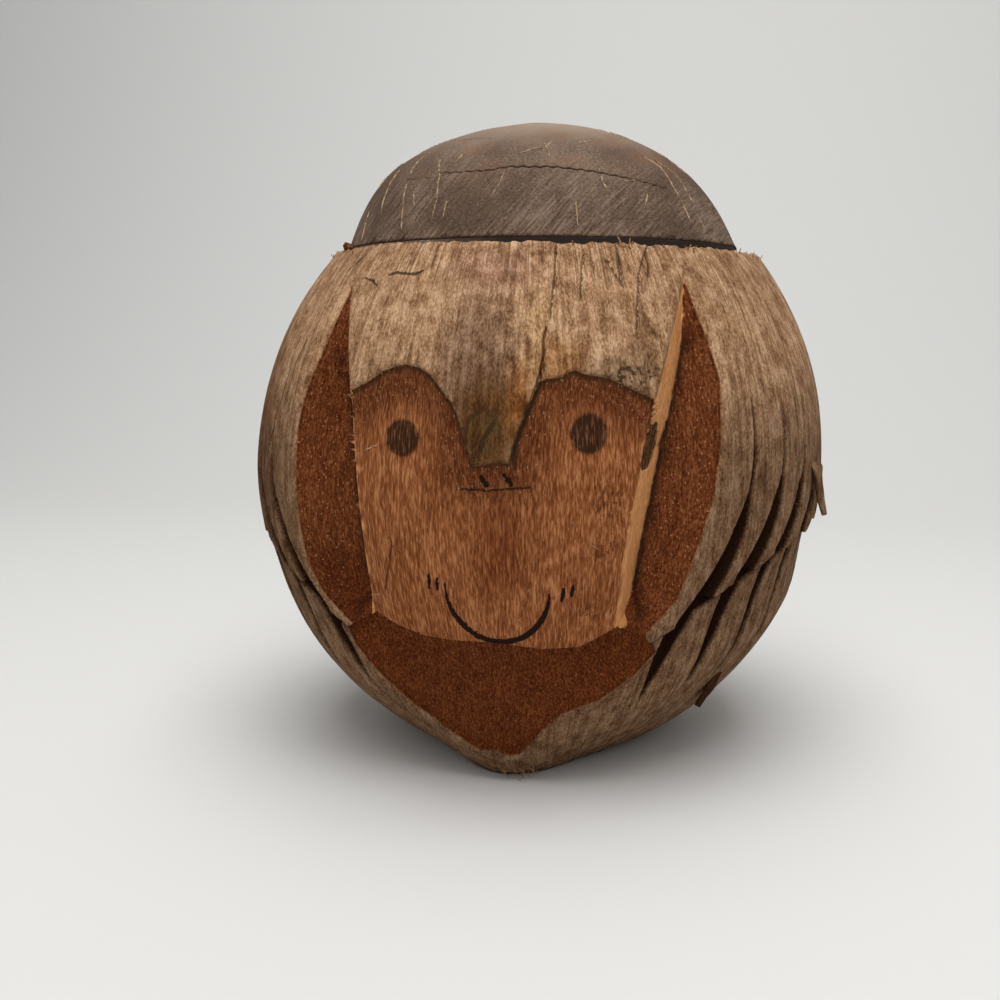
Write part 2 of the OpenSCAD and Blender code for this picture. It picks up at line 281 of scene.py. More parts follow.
# %% Face cut
def face_cut(x, z):
    """Depth of the pared face, from nothing at the brow to full depth, and how far below the brow it is."""
    below_brow = -inside_outline(x, z, FOREHEAD)
    nose = inside_outline(x, z, NOSE_TIP)
    muzzle = MUZZLE_DEPTH * np.exp(-((x - MUZZLE_X) / MUZZLE_SPREAD) ** 2) * (1 - soft_step(74, 90, z))
    depth = BROW_STEP * soft_step(0, 0.45, below_brow)
    depth = depth + (FACE_DEPTH - BROW_STEP) * soft_step(0.3, 6, below_brow)
    facet = BROW_STEP + NOSE_SLANT * (NOSE_Z - z)
    under_nose = soft_step(-0.9, 0.3, nose)
    depth = depth + muzzle * soft_step(0, 4, below_brow)
    depth = depth * (1 - under_nose) + np.minimum(depth, facet) * under_nose
    return np.where(below_brow > 0, depth, 0), below_brow


print("face depth", FACE_DEPTH, "mm, at the brow", BROW_STEP, "mm")

# %% Ear cut
EAR_FLOOR_Y, EAR_FLOOR_Z, EAR_FLOOR_R = 63.0, 75.6, 123.2
EAR_WALL_SLANT = 0.33
EAR_FOOT_X, EAR_FOOT_Z, EAR_FOOT_SLANT, EAR_FOOT_STEEP = 31.9, 43.4, 0.6, 5
RIGHT_EAR_EDGE = ((48, 30.6), (55.8, 31.4), (63.4, 32.3), (74.2, 34), (88.7, 36.6), (97.4, 37.9),
                  (107, 39.8), (116.4, 41.7), (131.7, 44.2), (140, 45.4))
LEFT_EAR_EDGE = ((48, 30), (58, 30.4), (68.4, 31), (72, 31.3), (85.2, 32.5), (95.3, 33.7),
                 (105.7, 34.2), (115.5, 36), (123.3, 37.3), (131.6, 38.6), (140, 40.2))
RIGHT_EAR_BACK = ((45.5, 38.7), (49.5, 42.3), (54.1, 46.2), (61.8, 49), (70.1, 51.9), (78.9, 54.4),
                  (91, 55.7), (99, 55.5), (107.3, 55), (110.9, 54), (116.9, 51.9), (124.1, 48.9),
                  (131.5, 46), (134, 45.2))
LEFT_EAR_BACK = ((43.5, 38), (47.4, 42.9), (50.4, 46.3), (54.7, 49), (59.4, 51.2), (67.2, 52.4),
                 (78, 53.2), (88.2, 53.2), (96.6, 52.6), (104.2, 50.6), (114.9, 46), (123.4, 42.6),
                 (131.6, 39.9), (134.5, 39.5))


def ear_line(turn, z, right, left):
    """How far from the middle an ear's line lies at each height, on either side."""
    return np.where(turn > 0, line(z, *right), line(z, *left))


def ear_cut(turn, z, reach, face, d):
    """Depth of the ears, the lesser of a steep wall and a rounded floor, and where wall and corner are."""
    side = np.abs(d[:, 0]) * (reach - face)
    edge = ear_line(turn, z, RIGHT_EAR_EDGE, LEFT_EAR_EDGE)
    wall = face + (side - edge) / (np.abs(d[:, 0]) + EAR_WALL_SLANT)
    across = d[:, 1] ** 2 + d[:, 2] ** 2
    middle = -d[:, 1] * EAR_FLOOR_Y + d[:, 2] * (BELLY_Z - EAR_FLOOR_Z)
    gap = EAR_FLOOR_Y ** 2 + (BELLY_Z - EAR_FLOOR_Z) ** 2 - EAR_FLOOR_R ** 2
    floor = reach - (np.sqrt(np.maximum(middle ** 2 - across * gap, 0)) - middle) / across
    foot = EAR_FOOT_STEEP * (z - EAR_FOOT_Z + EAR_FOOT_SLANT * (side - EAR_FOOT_X))
    back = ear_line(turn, z, RIGHT_EAR_BACK, LEFT_EAR_BACK)
    outer = 2 * (back - np.abs(d[:, 0]) * reach)
    depth = np.minimum.reduce([wall, floor, foot, outer])
    depth = np.where(side > edge, np.maximum(depth, 0), 0)
    # The crease where the wall meets the floor is darkened in the finish as painted shade.
    crease = np.exp(-((wall - floor - 0.7) / 1.3) ** 2)
    steep = (wall < floor) & (wall < foot) & (wall < outer)
    return depth, *(np.where(side > edge, part, 0.0) for part in (steep, crease))


print("ear floor radius", EAR_FLOOR_R, "mm")

# %% Beard cut
def beard_cut(x, z):
    """Depth of the beard: a shallow V at the chin, steep under the jaw and the ears."""
    inside = inside_outline(x, z, BEARD)
    rise = line(z, *BEARD_RISE)
    deepest = BEARD_DEPTH + BEARD_SIDES * np.clip(np.abs(x) / BEARD_HALF, 0, 1) ** 2
    depth = 1.0 + (deepest - 1) * (1 - np.exp(-1.25 * rise * path_distance(x, z, CHIN) / deepest))
    return np.where(inside > 0, np.minimum(depth, 0.3 + 5 * inside), 0)


print("beard depth from", BEARD_DEPTH, "to", BEARD_DEPTH + BEARD_SIDES, "mm")

# %% [markdown]
# ## The hair
#
# Behind the ears the carver cut the rind into long locks. Grooves start as
# cracks beside the crown, lean forward and widen as they go down, and run out
# near the base. Half way down, each lock ends in a slanting tip with a notch
# under it, and a second tier of locks starts there, set a little deeper. All of it
# repeats at one pitch, so one rule gives every groove. The other side is the same
# rule mirrored, with a shallower step to the second tier.

# %% Hair
GROOVES = 15
GROOVE_START, GROOVE_PITCH = 50.4, 9.25
GROOVE_TOP_Z, GROOVE_BEND_Z, GROOVE_LOW_Z = 106.0, 95, 22.0
CORNER_Z, CORNER_CLIMB, CORNER_SPREAD = 48.5, 26, 2.2
BEND_POWER = 2.2
LOW_LEAN = 4.6
TIP_RISE = 0.7
NOTCH_DEPTH = 4.6
TIER_STEP = 2.5
LEFT_TIER, BACK_TIER = 0.45, 0.45
HAIR_FRONT, HAIR_BACK = (30.5, 33), (110, 150)
TIER_FADE = (8, 28)


def groove_corner(k):
    """Turn and height of the place where groove k passes the tips of the locks, and its lean."""
    z = CORNER_Z + CORNER_CLIMB * (1 - np.exp(-k / CORNER_SPREAD))
    lean = 7.2 * (1 - k / GROOVES) + 4 * np.exp(-k)
    return GROOVE_START + GROOVE_PITCH * k - lean, z, lean


def groove_turn(k, z):
    """Turn of groove k in degrees at each height, how much it slants and its corner's height."""
    _, corner_z, lean = groove_corner(k)
    rise = GROOVE_BEND_Z - corner_z
    t = np.clip((GROOVE_BEND_Z - z) / rise, 0, 1)
    below = np.clip((corner_z - z) / (corner_z - GROOVE_LOW_Z), 0, 1.2)
    slant = lean * BEND_POWER * t ** (BEND_POWER - 1) / rise
    return GROOVE_START + GROOVE_PITCH * k - lean * t ** BEND_POWER - LOW_LEAN * below, slant, corner_z


def hair(turn, z, level):
    """Depth of the hair's grooves and notches, and the step down to its second tier."""
    side = np.abs(np.degrees(turn))
    cut = np.zeros(z.shape)
    passed = np.zeros(z.shape)
    arc = np.radians(1) * level
    for k in range(GROOVES):
        here, slant, corner_z = groove_turn(k, z)
        off = np.abs(side - here) * arc / np.sqrt(1 + (slant * arc) ** 2)
        rise = GROOVE_BEND_Z - corner_z
        half = line(z, (GROOVE_LOW_Z, 0.0), (28, 0.6), (corner_z - 12, 2.1), (corner_z - 3, 2.8),
                    (corner_z + 2, 3.1), (corner_z + 0.3 * rise, 2.9), (corner_z + 0.5 * rise, 2.3),
                    (corner_z + 0.68 * rise, 0.8), (GROOVE_BEND_Z, 0.5), (GROOVE_TOP_Z, 0.05))
        deep = line(z, (GROOVE_LOW_Z, 0.0), (28, 1.7), (38, 4.0), (corner_z, 6.6),
                    (corner_z + 0.5 * rise, 5.4), (corner_z + 0.7 * rise, 2.6), (GROOVE_BEND_Z, 1.7),
                    (GROOVE_TOP_Z, 0))
        cut = np.maximum(cut, deep * (1 - soft_step(0.7 * half, half + 0.25, off)))
        passed += side > here
    corner, corner_z, _ = groove_corner(passed)
    below = corner_z + TIP_RISE * (side - corner) - z
    hairy = soft_step(*HAIR_FRONT, side)
    notch = NOTCH_DEPTH * soft_step(-0.2, 0.4, below) * (1 - soft_step(1.6, 4.0, below)) * hairy
    share = np.where(turn > 0, 1.0, LEFT_TIER) * (1 - BACK_TIER * soft_step(*HAIR_BACK, side))
    step = TIER_STEP * share * soft_step(0.4, 2.5, below) * (1 - soft_step(*TIER_FADE, below)) * hairy
    return np.maximum(cut, notch), step * soft_step(0, 9, z)


print("groove corners:", [tuple(np.round(groove_corner(k)[:2], 1)) for k in range(3)])

# %% [markdown]
# ## One surface for the whole husk
#
# The husk's surface is closed: it runs from the middle of the base up the outside,
# over the sawn top and down into the pocket that holds the nut. A number called
# run says where along that way a point lies: 0 to 1 is the base, 1 to 2 the
# outside, 2 to 3 the top and 3 to 4 the pocket. One function gives the place of
# any point, and also how deep the knife went there, which the finish reads later
# to tell rind from fibre. Lumps and long ribs run over the rind, and finer strokes
# over what the knife bared.

# %% Outside of the husk
NUT = np.array([NUT_X, 0, NUT_Z])
POCKET_R = NUT_R + SHELL_GAP
SINK = 0.25
GRAIN_R = 82.0
FRONT = np.radians(75)
BROW_REACH = 14
LUMP_RISE, LUMP_SIZE = 0.45, 26
RIB_RISE, RIB_SIZE = 0.2, np.array([6, 6, 60])
PARED_RISE, PARED_SIZE = 0.16, np.array([4, 4, 16])
NICK_RISE, NICK_SIZE = 0.12, 5.0
CRACKS = (((9.6, 107), (10.9, 123), 0.42, 1.6), ((26.2, 129), (27.2, 140.5), 0.34, 1.2),
          ((32.0, 131), (34.2, 140.5), 0.4, 1.4))


def cracks(turn, z, level):
    """Depth of the drying cracks, each given by the turn and height of its two ends."""
    depth = np.zeros(z.shape)
    for low, high, width, deep in CRACKS:
        t = (z - low[1]) / (high[1] - low[1])
        middle = low[0] + (high[0] - low[0]) * t + 0.12 * np.sin(z * 0.9)
        off = np.abs(np.degrees(turn) - middle) * np.radians(1) * level
        ends = soft_step(0, 0.2, t) * (1 - soft_step(0.75, 1.02, t))
        depth = np.maximum(depth, deep * ends * (1 - soft_step(0.3 * width, width, off)))
    return depth


def outside(turn, slope):
    """Shape of the outside along each ray, with the knife's depth and what it left."""
    d = direction(turn, slope)
    reach = uncut_reach(turn, slope)
    skin = BELLY + reach[:, None] * d
    x, _, z = (BELLY + (reach - PARED)[:, None] * d).T
    front = np.abs(turn) < FRONT
    face, below_brow = face_cut(x, z)
    face = np.where(front & (z > line(x, *JAW) - 1), face, 0)
    ears, wall, crease = (np.where(front, part, 0) for part in ear_cut(turn, skin[:, 2], reach, face, d))
    beard = np.where(front, beard_cut(x, z), 0)
    edge = ear_line(turn, z, RIGHT_EAR_EDGE, LEFT_EAR_EDGE)
    face = np.where(np.abs(d[:, 0]) * (reach - face) < edge + 0.01, face, 0)
    level = np.hypot(skin[:, 0], skin[:, 1])
    locks, step = hair(turn, skin[:, 2], level)
    open_skin = 1 - soft_step(0.1, 0.6, np.maximum(ears, beard))
    locks = locks * open_skin
    grain = np.stack([np.sin(turn), -np.cos(turn), slope], axis=-1) * GRAIN_R
    ribs = LUMP_RISE * lumps(skin, LUMP_SIZE) + RIB_RISE * lumps(grain, RIB_SIZE)
    pared = PARED_RISE * lumps(grain, PARED_SIZE) + NICK_RISE * lumps(skin, NICK_SIZE)
    carved = np.maximum.reduce([face, ears, beard, locks, cracks(turn, skin[:, 2], level)])
    shape = reach - step * open_skin
    shape = shape + ribs * (1 - soft_step(0.5, 3, carved)) + pared * soft_step(0.8, 3, carved)
    red = np.maximum.reduce([soft_step(0.1, 0.8, ears - face) * (1 - wall), soft_step(0, 0.6, beard - face),
                             soft_step(0.5, 1.5, locks)])
    grain[:, :2] *= (1 - carved / GRAIN_R)[:, None]
    # The grooves and the crease at the foot of each ear wall are darkened as painted shade, in the grooves
    # partly dirt too.
    dark = np.maximum(soft_step(0.25, 1.0, locks), 0.9 * crease * soft_step(2, 5, ears))
    marks = {"cut": carved, "red": red, "dark": dark, "wall": wall * soft_step(0.3, 1, ears),
             "brow": (face > 0) * (1 - np.clip(below_brow / BROW_REACH, 0, 1)), "grain": grain}
    return d, shape, marks


print("pocket radius", round(POCKET_R, 2), "mm,", len(CRACKS), "drying cracks")

# %% The closed surface
HIDDEN_MARKS = {"cut": 6.0, "red": 0.3, "dark": 0.3, "wall": 0.0, "brow": 0.0}
SAWN_LUMPS = ((0.5, 2.2), (0.35, 9.0))
SAWN_DIP, MOST_RAGGED = 0.6, 0.8


def pocket_point(turn, polar):
    """A point of the pocket round the nut, polar being the angle from straight up."""
    return NUT + POCKET_R * direction(turn, np.pi - polar)


def husk_surface(turn, run, sunk=False):
    """Places on the husk's surface and their marks: the rind's outside, or the fibre sunk under it."""
    slope_low = np.interp(turn, TURNS, BASE_SLOPE)
    slope_high = np.interp(turn, TURNS, TOP_SLOPE)
    along = np.clip(run - 1, 0, 1)
    d, shape, marks = outside(turn, slope_low + (slope_high - slope_low) * along)
    depth = marks["cut"]
    if sunk:
        lapped = depth + SINK * (1 - soft_step(RIND_T + 0.4, RIND_T + 1, depth))
        depth = np.maximum(lapped, RIND_T)
    spot = BELLY + (shape - depth)[:, None] * d
    ring = marks["grain"] * (1, 1, 0)
    ragged = layered(ring, SAWN_LUMPS) - SAWN_DIP * soft_step(-0.6, 0.3, np.sin(turn))
    ragged = np.minimum(ragged, MOST_RAGGED) * soft_step(0.985, 1, along)
    spot[:, 2] = np.maximum(spot[:, 2] + ragged, 0)
    rim_polar = np.arccos((HUSK_TOP - NUT_Z) / POCKET_R)
    hem = pocket_point(turn, np.full(turn.shape, rim_polar))
    hem[:, 2] = np.minimum(hem[:, 2], spot[:, 2])
    on_base = np.clip(run, 0, 1)[:, None]
    over = np.clip(run - 2, 0, 1)[:, None]
    down = rim_polar + (np.pi - rim_polar) * np.clip(run - 3, 0, 1)
    place = spot * np.where(on_base < 1, on_base, 1) * np.where(on_base < 1, (1, 1, 0), (1, 1, 1))
    place = np.where((run > 2)[:, None], spot * (1 - over) + hem * over, place)
    place = np.where((run > 3)[:, None], pocket_point(turn, down), place)
    inner = (run < 1) | (run > 2.001)
    for name, value in HIDDEN_MARKS.items():
        marks[name] = np.where(inner, value, marks[name])
    return place, marks


print("husk top", round(HUSK_TOP, 2), "mm, belly", BELLY_Z, "mm")

# %% [markdown]
# ## Triangles where they are needed
#
# A grid fine enough for the knife's edges would have millions of faces. So the
# grid starts coarse, and an edge is split in the middle where the true surface
# leaves the straight line between its ends, or where the rind's lip crosses it. A
# triangle with a split edge also splits its longest one, which keeps the triangles
# well shaped. The net stays closed, because an edge is split for both of its
# triangles.

# %% Starting net
def tube_faces(rows, columns):
    """Triangles between rows of points round an axis, and fans to one point at each end."""
    ring = np.arange(columns)
    after = (ring + 1) % columns
    row = columns * np.arange(rows - 1)[:, None]
    a, b = (row + ring).ravel(), (row + after).ravel()
    top = (rows - 1) * columns
    pole = np.full(columns, rows * columns)
    corners = ((a, b, b + columns), (a, b + columns, a + columns), (pole, after, ring),
               (pole + 1, top + ring, top + after))
    return np.concatenate([np.stack(three, 1) for three in corners])


def starting_net(runs, columns):
    """Triangles over turn and run, closed round the axis and at both poles."""
    first, *between, last = runs
    turn = np.radians(np.arange(columns) * 360 / columns - 180)
    turns = np.append(np.tile(turn, len(between)), [0, 0])
    return tube_faces(len(between), columns), turns, np.append(np.repeat(between, columns), [first, last])


HUSK_RUNS = [0, 0.4, 0.8, *np.linspace(1, 2, 57), 2.5, *np.linspace(3, 3.95, 12), 4]
HUSK_COLUMNS = 180
husk_net = starting_net(HUSK_RUNS, HUSK_COLUMNS)
print("husk net starts with", len(husk_net[0]), "triangles")

# %% Splitting edges
def part_way(edges, turn, run, share=0.5):
    """Turn and run part of the way along each edge, round the seam and at the poles."""
    t0, t1 = turn[edges].T
    r0, r1 = run[edges].T
    poles = run.min(), run.max()
    t0 = np.where(np.isin(r0, poles), t1, t0)
    t1 = np.where(np.isin(r1, poles), t0, t1)
    step = (t1 - t0 + np.pi) % (2 * np.pi) - np.pi
    return (t0 + step * share + np.pi) % (2 * np.pi) - np.pi, r0 + (r1 - r0) * share


def three_sides(tris):
    """The sides of all triangles: the first side of each, then the second and the third."""
    return np.concatenate([tris[:, [0, 1]], tris[:, [1, 2]], tris[:, [2, 0]]])


def net_edges(tris):
    """The net's edges, and the three edges of each triangle."""
    pairs = np.sort(three_sides(tris), axis=1)
    key, where = np.unique(pairs[:, 0] * (tris.max() + 1) + pairs[:, 1], return_inverse=True)
    return np.stack(np.divmod(key, tris.max() + 1), 1), where.reshape(3, -1).T


def split_net(tris, sides, split, first):
    """The net after its chosen edges are split, new points being numbered from first."""
    new = np.where(split, first + np.cumsum(split) - 1, -1)[sides]
    count = (new >= 0).sum(axis=1)
    turned = np.where(count == 2, (np.argmin(new, axis=1) + 1) % 3, np.argmax(new >= 0, axis=1))
    order = (np.arange(3)[None] + turned[:, None]) % 3
    v = np.take_along_axis(tris, order, axis=1)
    m = np.take_along_axis(new, order, axis=1)
    (a, b, c), p = v[count == 1].T, m[count == 1, 0]
    made = [tris[count == 0], np.stack([a, p, c], 1), np.stack([p, b, c], 1)]
    (a, b, c), (p, q, _) = v[count == 2].T, m[count == 2].T
    made += [np.stack(t, 1) for t in ((p, b, q), (a, p, q), (a, q, c))]
    (a, b, c), (p, q, r) = v[count == 3].T, m[count == 3].T
    made += [np.stack(t, 1) for t in ((a, p, r), (b, q, p), (c, r, q), (p, q, r))]
    return np.concatenate(made)


print("edges of the starting net:", len(net_edges(husk_net[0])[0]))

# %% Fitted net
LIP_DEPTH = RIND_T + 0.3
PROBES = (0.25, 0.5, 0.75)
LONGEST_ROUNDS = 3
BACK_COARSER = 1.8
HUSK_PASSES = ((1.7, 0.17), (0.95, 0.15), (0.6, 0.15), (0.5, 0.17))
HUSK_SPAN = (1, 2.6)


def fit_net(surface, net, passes, spacing, span):
    """Splits the net's edges inside a span of runs, pass by pass, where they leave the surface."""
    tris, turn, run = net
    for least, bend in passes:
        edges, sides = net_edges(tris)
        place, marks = surface(turn, run)
        start, end = place[edges[:, 0]], place[edges[:, 1]]
        length = np.linalg.norm(start - end, axis=1)
        worth = length > least * spacing(start)
        worth &= (run[edges].min(axis=1) >= span[0]) & (run[edges].max(axis=1) <= span[1])
        split = np.zeros(len(edges), bool)
        for share in PROBES:
            there, _ = surface(*part_way(edges[worth], turn, run, share))
            chord = start[worth] * (1 - share) + end[worth] * share
            split[worth] |= np.linalg.norm(there - chord, axis=1) > bend
        lip = marks["cut"][edges] > LIP_DEPTH
        split |= worth & (lip[:, 0] != lip[:, 1])
        for _ in range(LONGEST_ROUNDS):
            longest = sides[np.arange(len(sides)), length[sides].argmax(axis=1)]
            split[longest[split[sides].any(axis=1)]] = True
        tris = split_net(tris, sides, split, len(turn))
        new_turn, new_run = part_way(edges[split], turn, run)
        turn, run = np.append(turn, new_turn), np.append(run, new_run)
    return tris, turn, run


def husk_spacing(place):
    """Finer edges on the front, coarser round the back, as shares of a pass's least length."""
    return 1 + BACK_COARSER * soft_step(-45, 10, place[:, 1])


tris, turn, run = fit_net(husk_surface, husk_net, HUSK_PASSES, husk_spacing, HUSK_SPAN)
print("husk net:", len(tris), "triangles")

# %% [markdown]
# ## From numbers to meshes
#
# Two pieces come from the one net. The fibre body is the whole closed surface,
# sunk a little where rind lies on it. The rind is the part of the net that the
# knife left: its outside, a copy of it turned round inside, and walls along its
# edges, so that it is a thin closed skin. Knife depth and grain go with the
# points as attributes, which a finish can read like a painted map.

# %% Mesh writer
def new_piece(name, places, faces, marks=None):
    """A smooth mesh object from places in millimetres, with marks for each point."""
    mesh = bpy.data.meshes.new(name)
    mesh.vertices.add(len(places))
    mesh.vertices.foreach_set("co", (np.asarray(places) * MM).astype(np.float32).ravel())
    faces = np.asarray(faces, np.int32)
    mesh.loops.add(faces.size)
    mesh.loops.foreach_set("vertex_index", faces.ravel())
    mesh.polygons.add(len(faces))
    mesh.polygons.foreach_set("loop_start", np.arange(len(faces), dtype=np.int32) * faces.shape[1])
    mesh.polygons.foreach_set("use_smooth", np.full(len(faces), True))
    for mark, values in (marks or {}).items():
        vector = np.ndim(values) == 2
        layer = mesh.attributes.new(mark, "FLOAT_VECTOR" if vector else "FLOAT", "POINT")
        layer.data.foreach_set("vector" if vector else "value", np.asarray(values, np.float32).ravel())
    mesh.update(calc_edges=True)
    mesh.validate()
    piece = bpy.data.objects.new(name, mesh)
    bpy.context.scene.collection.objects.link(piece)
    return piece


def hand_over(piece, body, slot, *nodes):
    """Rides a finished piece on its body, in place of the solids that it stands for."""
    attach(piece, body)
    if nodes:
        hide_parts(*nodes)


print("points to write:", len(turn))

# %% Fibre body and rind skin
SKIN_T, LEAST_SKIN = RIND_T + 0.5, 0.45


def skin_shell(face):
    """Faces of a closed skin: triangles, their copies turned round, and walls along the hem."""
    used, index = np.unique(face, return_inverse=True)
    face = index.reshape(-1, 3)
    count = len(used)
    directed = three_sides(face)
    back = directed[:, 1] * count + directed[:, 0]
    hem = directed[~np.isin(directed[:, 0] * count + directed[:, 1], back)]
    low, high = hem[:, 1], hem[:, 0]
    walls = [np.stack([low, high, high + count], 1), np.stack([low, high + count, low + count], 1)]
    return np.concatenate([face, face[:, ::-1] + count, *walls]), used


fibre_place, fibre_marks = husk_surface(turn, run, sunk=True)
husk = new_piece("husk_fibre", fibre_place, tris, fibre_marks)

skin_place, skin_marks = husk_surface(turn, run)
kept = skin_marks["cut"][tris].mean(axis=1) < LIP_DEPTH
kept &= (run[tris].max(axis=1) <= 2) & (run[tris].min(axis=1) >= 1)
inward = BELLY - skin_place
inward /= np.linalg.norm(inward, axis=1)[:, None]
under = skin_place + inward * np.maximum(SKIN_T - skin_marks["cut"], LEAST_SKIN)[:, None]
rind_faces, used = skin_shell(tris[kept])
rind_marks = {name: np.concatenate([values[used]] * 2) for name, values in skin_marks.items()}
rind = new_piece("rind_skin", np.concatenate([skin_place[used], under[used]]), rind_faces, rind_marks)
hand_over(husk, "head", "fibre", "husk")
hand_over(rind, "head", "rind", "rind")
print("fibre faces", len(husk.data.polygons), "rind faces", len(rind.data.polygons))

# %% [markdown]
# ## Writing finishes as sums
#
# A shader is a web of nodes, and long webs are hard to read as code. Here a small
# class wraps a node's output, so that `1 - mask` or `a * b` adds the Math node by
# itself, and one method adds every other node. A finish then reads like a recipe,
# and so does the web of Geometry Nodes further down.

# %% Wires and webs
class Wire:
    """A node's output that can stand in a Python sum: each operator adds a Math node."""

    def __init__(self, web, socket):
        self.web = web
        self.socket = socket

    def __add__(self, other):
        return self.web.math("ADD", self, other)

    def __sub__(self, other):
        return self.web.math("SUBTRACT", self, other)

    def __mul__(self, other):
        return self.web.math("MULTIPLY", self, other)

    def __truediv__(self, other):
        return self.web.math("DIVIDE", self, other)

    def __rsub__(self, other):
        return self.web.math("SUBTRACT", other, self)

    __radd__ = __add__
    __rmul__ = __mul__


class Web:
    """A tree of nodes that are added one by one."""

    def __init__(self, tree):
        self.tree = tree

    def feed(self, target, inputs):
        """Gives a node's sockets their values, or links where the values are wires."""
        for name, value in inputs.items():
            if isinstance(value, Wire):
                self.tree.links.new(value.socket, target.inputs[name])
            else:
                target.inputs[name].default_value = value

    def node(self, kind, settings, inputs, output=0):
        """Adds any node: its settings first, then a value or a wire for each named socket."""
        made = self.tree.nodes.new(kind)
        for name, value in settings.items():
            setattr(made, name, value)
        self.feed(made, inputs)
        return Wire(self, made.outputs[output])


print("methods of a web:", [m for m in dir(Web) if not m.startswith("_")])

# %% Finish writer
class Finish(Web):
    """A material whose nodes are joined to its surface at the end."""

    def __init__(self, name):
        self.material = bpy.data.materials.new(name)
        self.material.use_nodes = True
        super().__init__(self.material.node_tree)
        self.surface = self.tree.nodes["Principled BSDF"]

    def math(self, operation, *values):
        return self.node("ShaderNodeMath", {"operation": operation}, dict(enumerate(values)))

    def vector(self, operation, *values, output=0):
        return self.node("ShaderNodeVectorMath", {"operation": operation}, dict(enumerate(values)), output)

    def most(self, first, *others):
        """The greatest of several values."""
        for other in others:
            first = self.math("MAXIMUM", first, other)
        return first

    def mark(self, name, output="Fac"):
        """A mark that the mesh carries for each point."""
        return self.node("ShaderNodeAttribute", {"attribute_name": name}, {}, output)

    def spot(self):
        """The place on the piece in millimetres, as x, y and z."""
        place = self.node("ShaderNodeTexCoord", {}, {}, "Object")
        place = self.vector("MULTIPLY", place, (1 / MM, 1 / MM, 1 / MM))
        axes = [self.node("ShaderNodeSeparateXYZ", {}, {0: place}, i) for i in range(3)]
        return place, axes

    def step(self, low, high, value):
        """0 below low, 1 above high and a smooth rise between, as in the form's own soft step."""
        inputs = {"Value": value, "From Min": low, "From Max": high}
        return self.node("ShaderNodeMapRange", {"interpolation_type": "SMOOTHSTEP"}, inputs)

    def fall(self, low, high, value):
        """1 below low, 0 above high and a smooth fall between."""
        return self.step(high, low, value)

    def mix(self, share, a, b, blend="MIX"):
        """Colour a, with a share of colour b over it."""
        colour = [c if isinstance(c, Wire) else (*c, 1) for c in (a, b)]
        inputs = {0: share, 6: colour[0], 7: colour[1]}
        return self.node("ShaderNodeMix", {"data_type": "RGBA", "blend_type": blend}, inputs, 2)

    def tint(self, share, colour, tone):
        """A colour, with a share of it multiplied by a tone."""
        return self.mix(share, colour, tone, "MULTIPLY")

    def cells(self, place, size):
        """Inputs for a texture whose pattern has a size along each axis in millimetres."""
        scale = (1 / np.broadcast_to(np.asarray(size, float), 3)).tolist()
        return {"Vector": self.vector("MULTIPLY", place, scale), "Scale": 1.0}

    def clouds(self, place, size, detail=2.0, rough=0.5):
        """Noise from 0 to 1 with lumps of a size."""
        inputs = {**self.cells(place, size), "Detail": detail, "Roughness": rough}
        return self.node("ShaderNodeTexNoise", {}, inputs)

    def dots(self, place, size):
        """Distance from scattered points, in shares of their spacing."""
        return self.node("ShaderNodeTexVoronoi", {}, self.cells(place, size), "Distance")

    def ramp(self, value, *stops):
        """A colour for each value, through stops of place and colour."""
        made = self.node("ShaderNodeValToRGB", {}, {"Fac": value})
        band = made.socket.node.color_ramp
        while len(band.elements) < len(stops):
            band.elements.new(0.5)
        for element, (place, colour) in zip(band.elements, stops):
            element.position = place
            element.color = (*colour, 1)
        return made

    def close(self, colour, rough, height, depth, gloss=0.15):
        """Joins colour, roughness and a height in millimetres to the surface."""
        relief = {"Height": height, "Distance": depth * MM, "Strength": 1.0}
        bump = self.node("ShaderNodeBump", {}, relief, "Normal")
        self.feed(self.surface, {"Base Color": colour, "Roughness": rough, "Normal": bump,
                                 "Specular IOR Level": gloss})
        return self.material


print("finish writer ready:", len([m for m in dir(Finish) if not m.startswith("_")]), "methods")

# %% [markdown]
# ## Burnt and scored marks
#
# The eyes, the smile and the nostrils are burnt into the pared face with a hot
# point, and the knife left scored lines and gouges. They are drawn from the place
# on the face, so their edges are sharp at any distance: an oval for each eye, half
# of one for the smile, whose line is thin at the ends and heavy in the middle, and
# straight strokes for the rest.

# %% Burnt marks
EYES = ((-19.6, 93.9, 4.8, 4.8), (24.6, 95.4, 4.5, 5.1))
WALL_MARK = ((38.9, 97.0, 37.0, 87.2),)
SMILE = (3.0, 58.2, 12.5, 14.3)
TICKS = ((-13.5, 61.2, -13.6, 57.6), (-11.5, 60.4, -11.5, 57.4), (18.9, 58.6, 18.3, 55.2),
         (21.2, 59.4, 20.6, 56.4))
NOSTRILS = ((0.3, 85.8, 1.8, 83.5), (5.8, 86.3, 7.6, 83.9))
NOSE_FOOT = ((-4.4, 82.6, 2.0, 82.4), (2.0, 82.4, 11.5, 83.2))
SCORED = ((-23.7, 69.7, -22.7, 69.0), (-22.7, 69.0, -24.0, 63.0), (-24.0, 63.0, -25.9, 55.5))
BURNT_LINES = ((TICKS, 0.55, 1.0), (NOSTRILS, 0.75, 1.0), (NOSE_FOOT, 0.4, 0.75), (SCORED, 0.32, 0.7))
GOUGES = ((-27.2, 132.8, -24.1, 133.5), (-25.5, 133.3, -18.7, 132.7), (-20.0, 132.5, -17.3, 133.6),
          (-34.7, 132.4, -32.0, 131.6), (-32.4, 131.8, -30.0, 130.2))
NOSE_CRACK = ((14.4, 111.5, 13.0, 107.0), (13.4, 108.0, 12.2, 103.5), (12.5, 104.8, 9.6, 96.6),
              (10.0, 98.0, 7.9, 91.4), (8.2, 93.0, 8.4, 87.6))
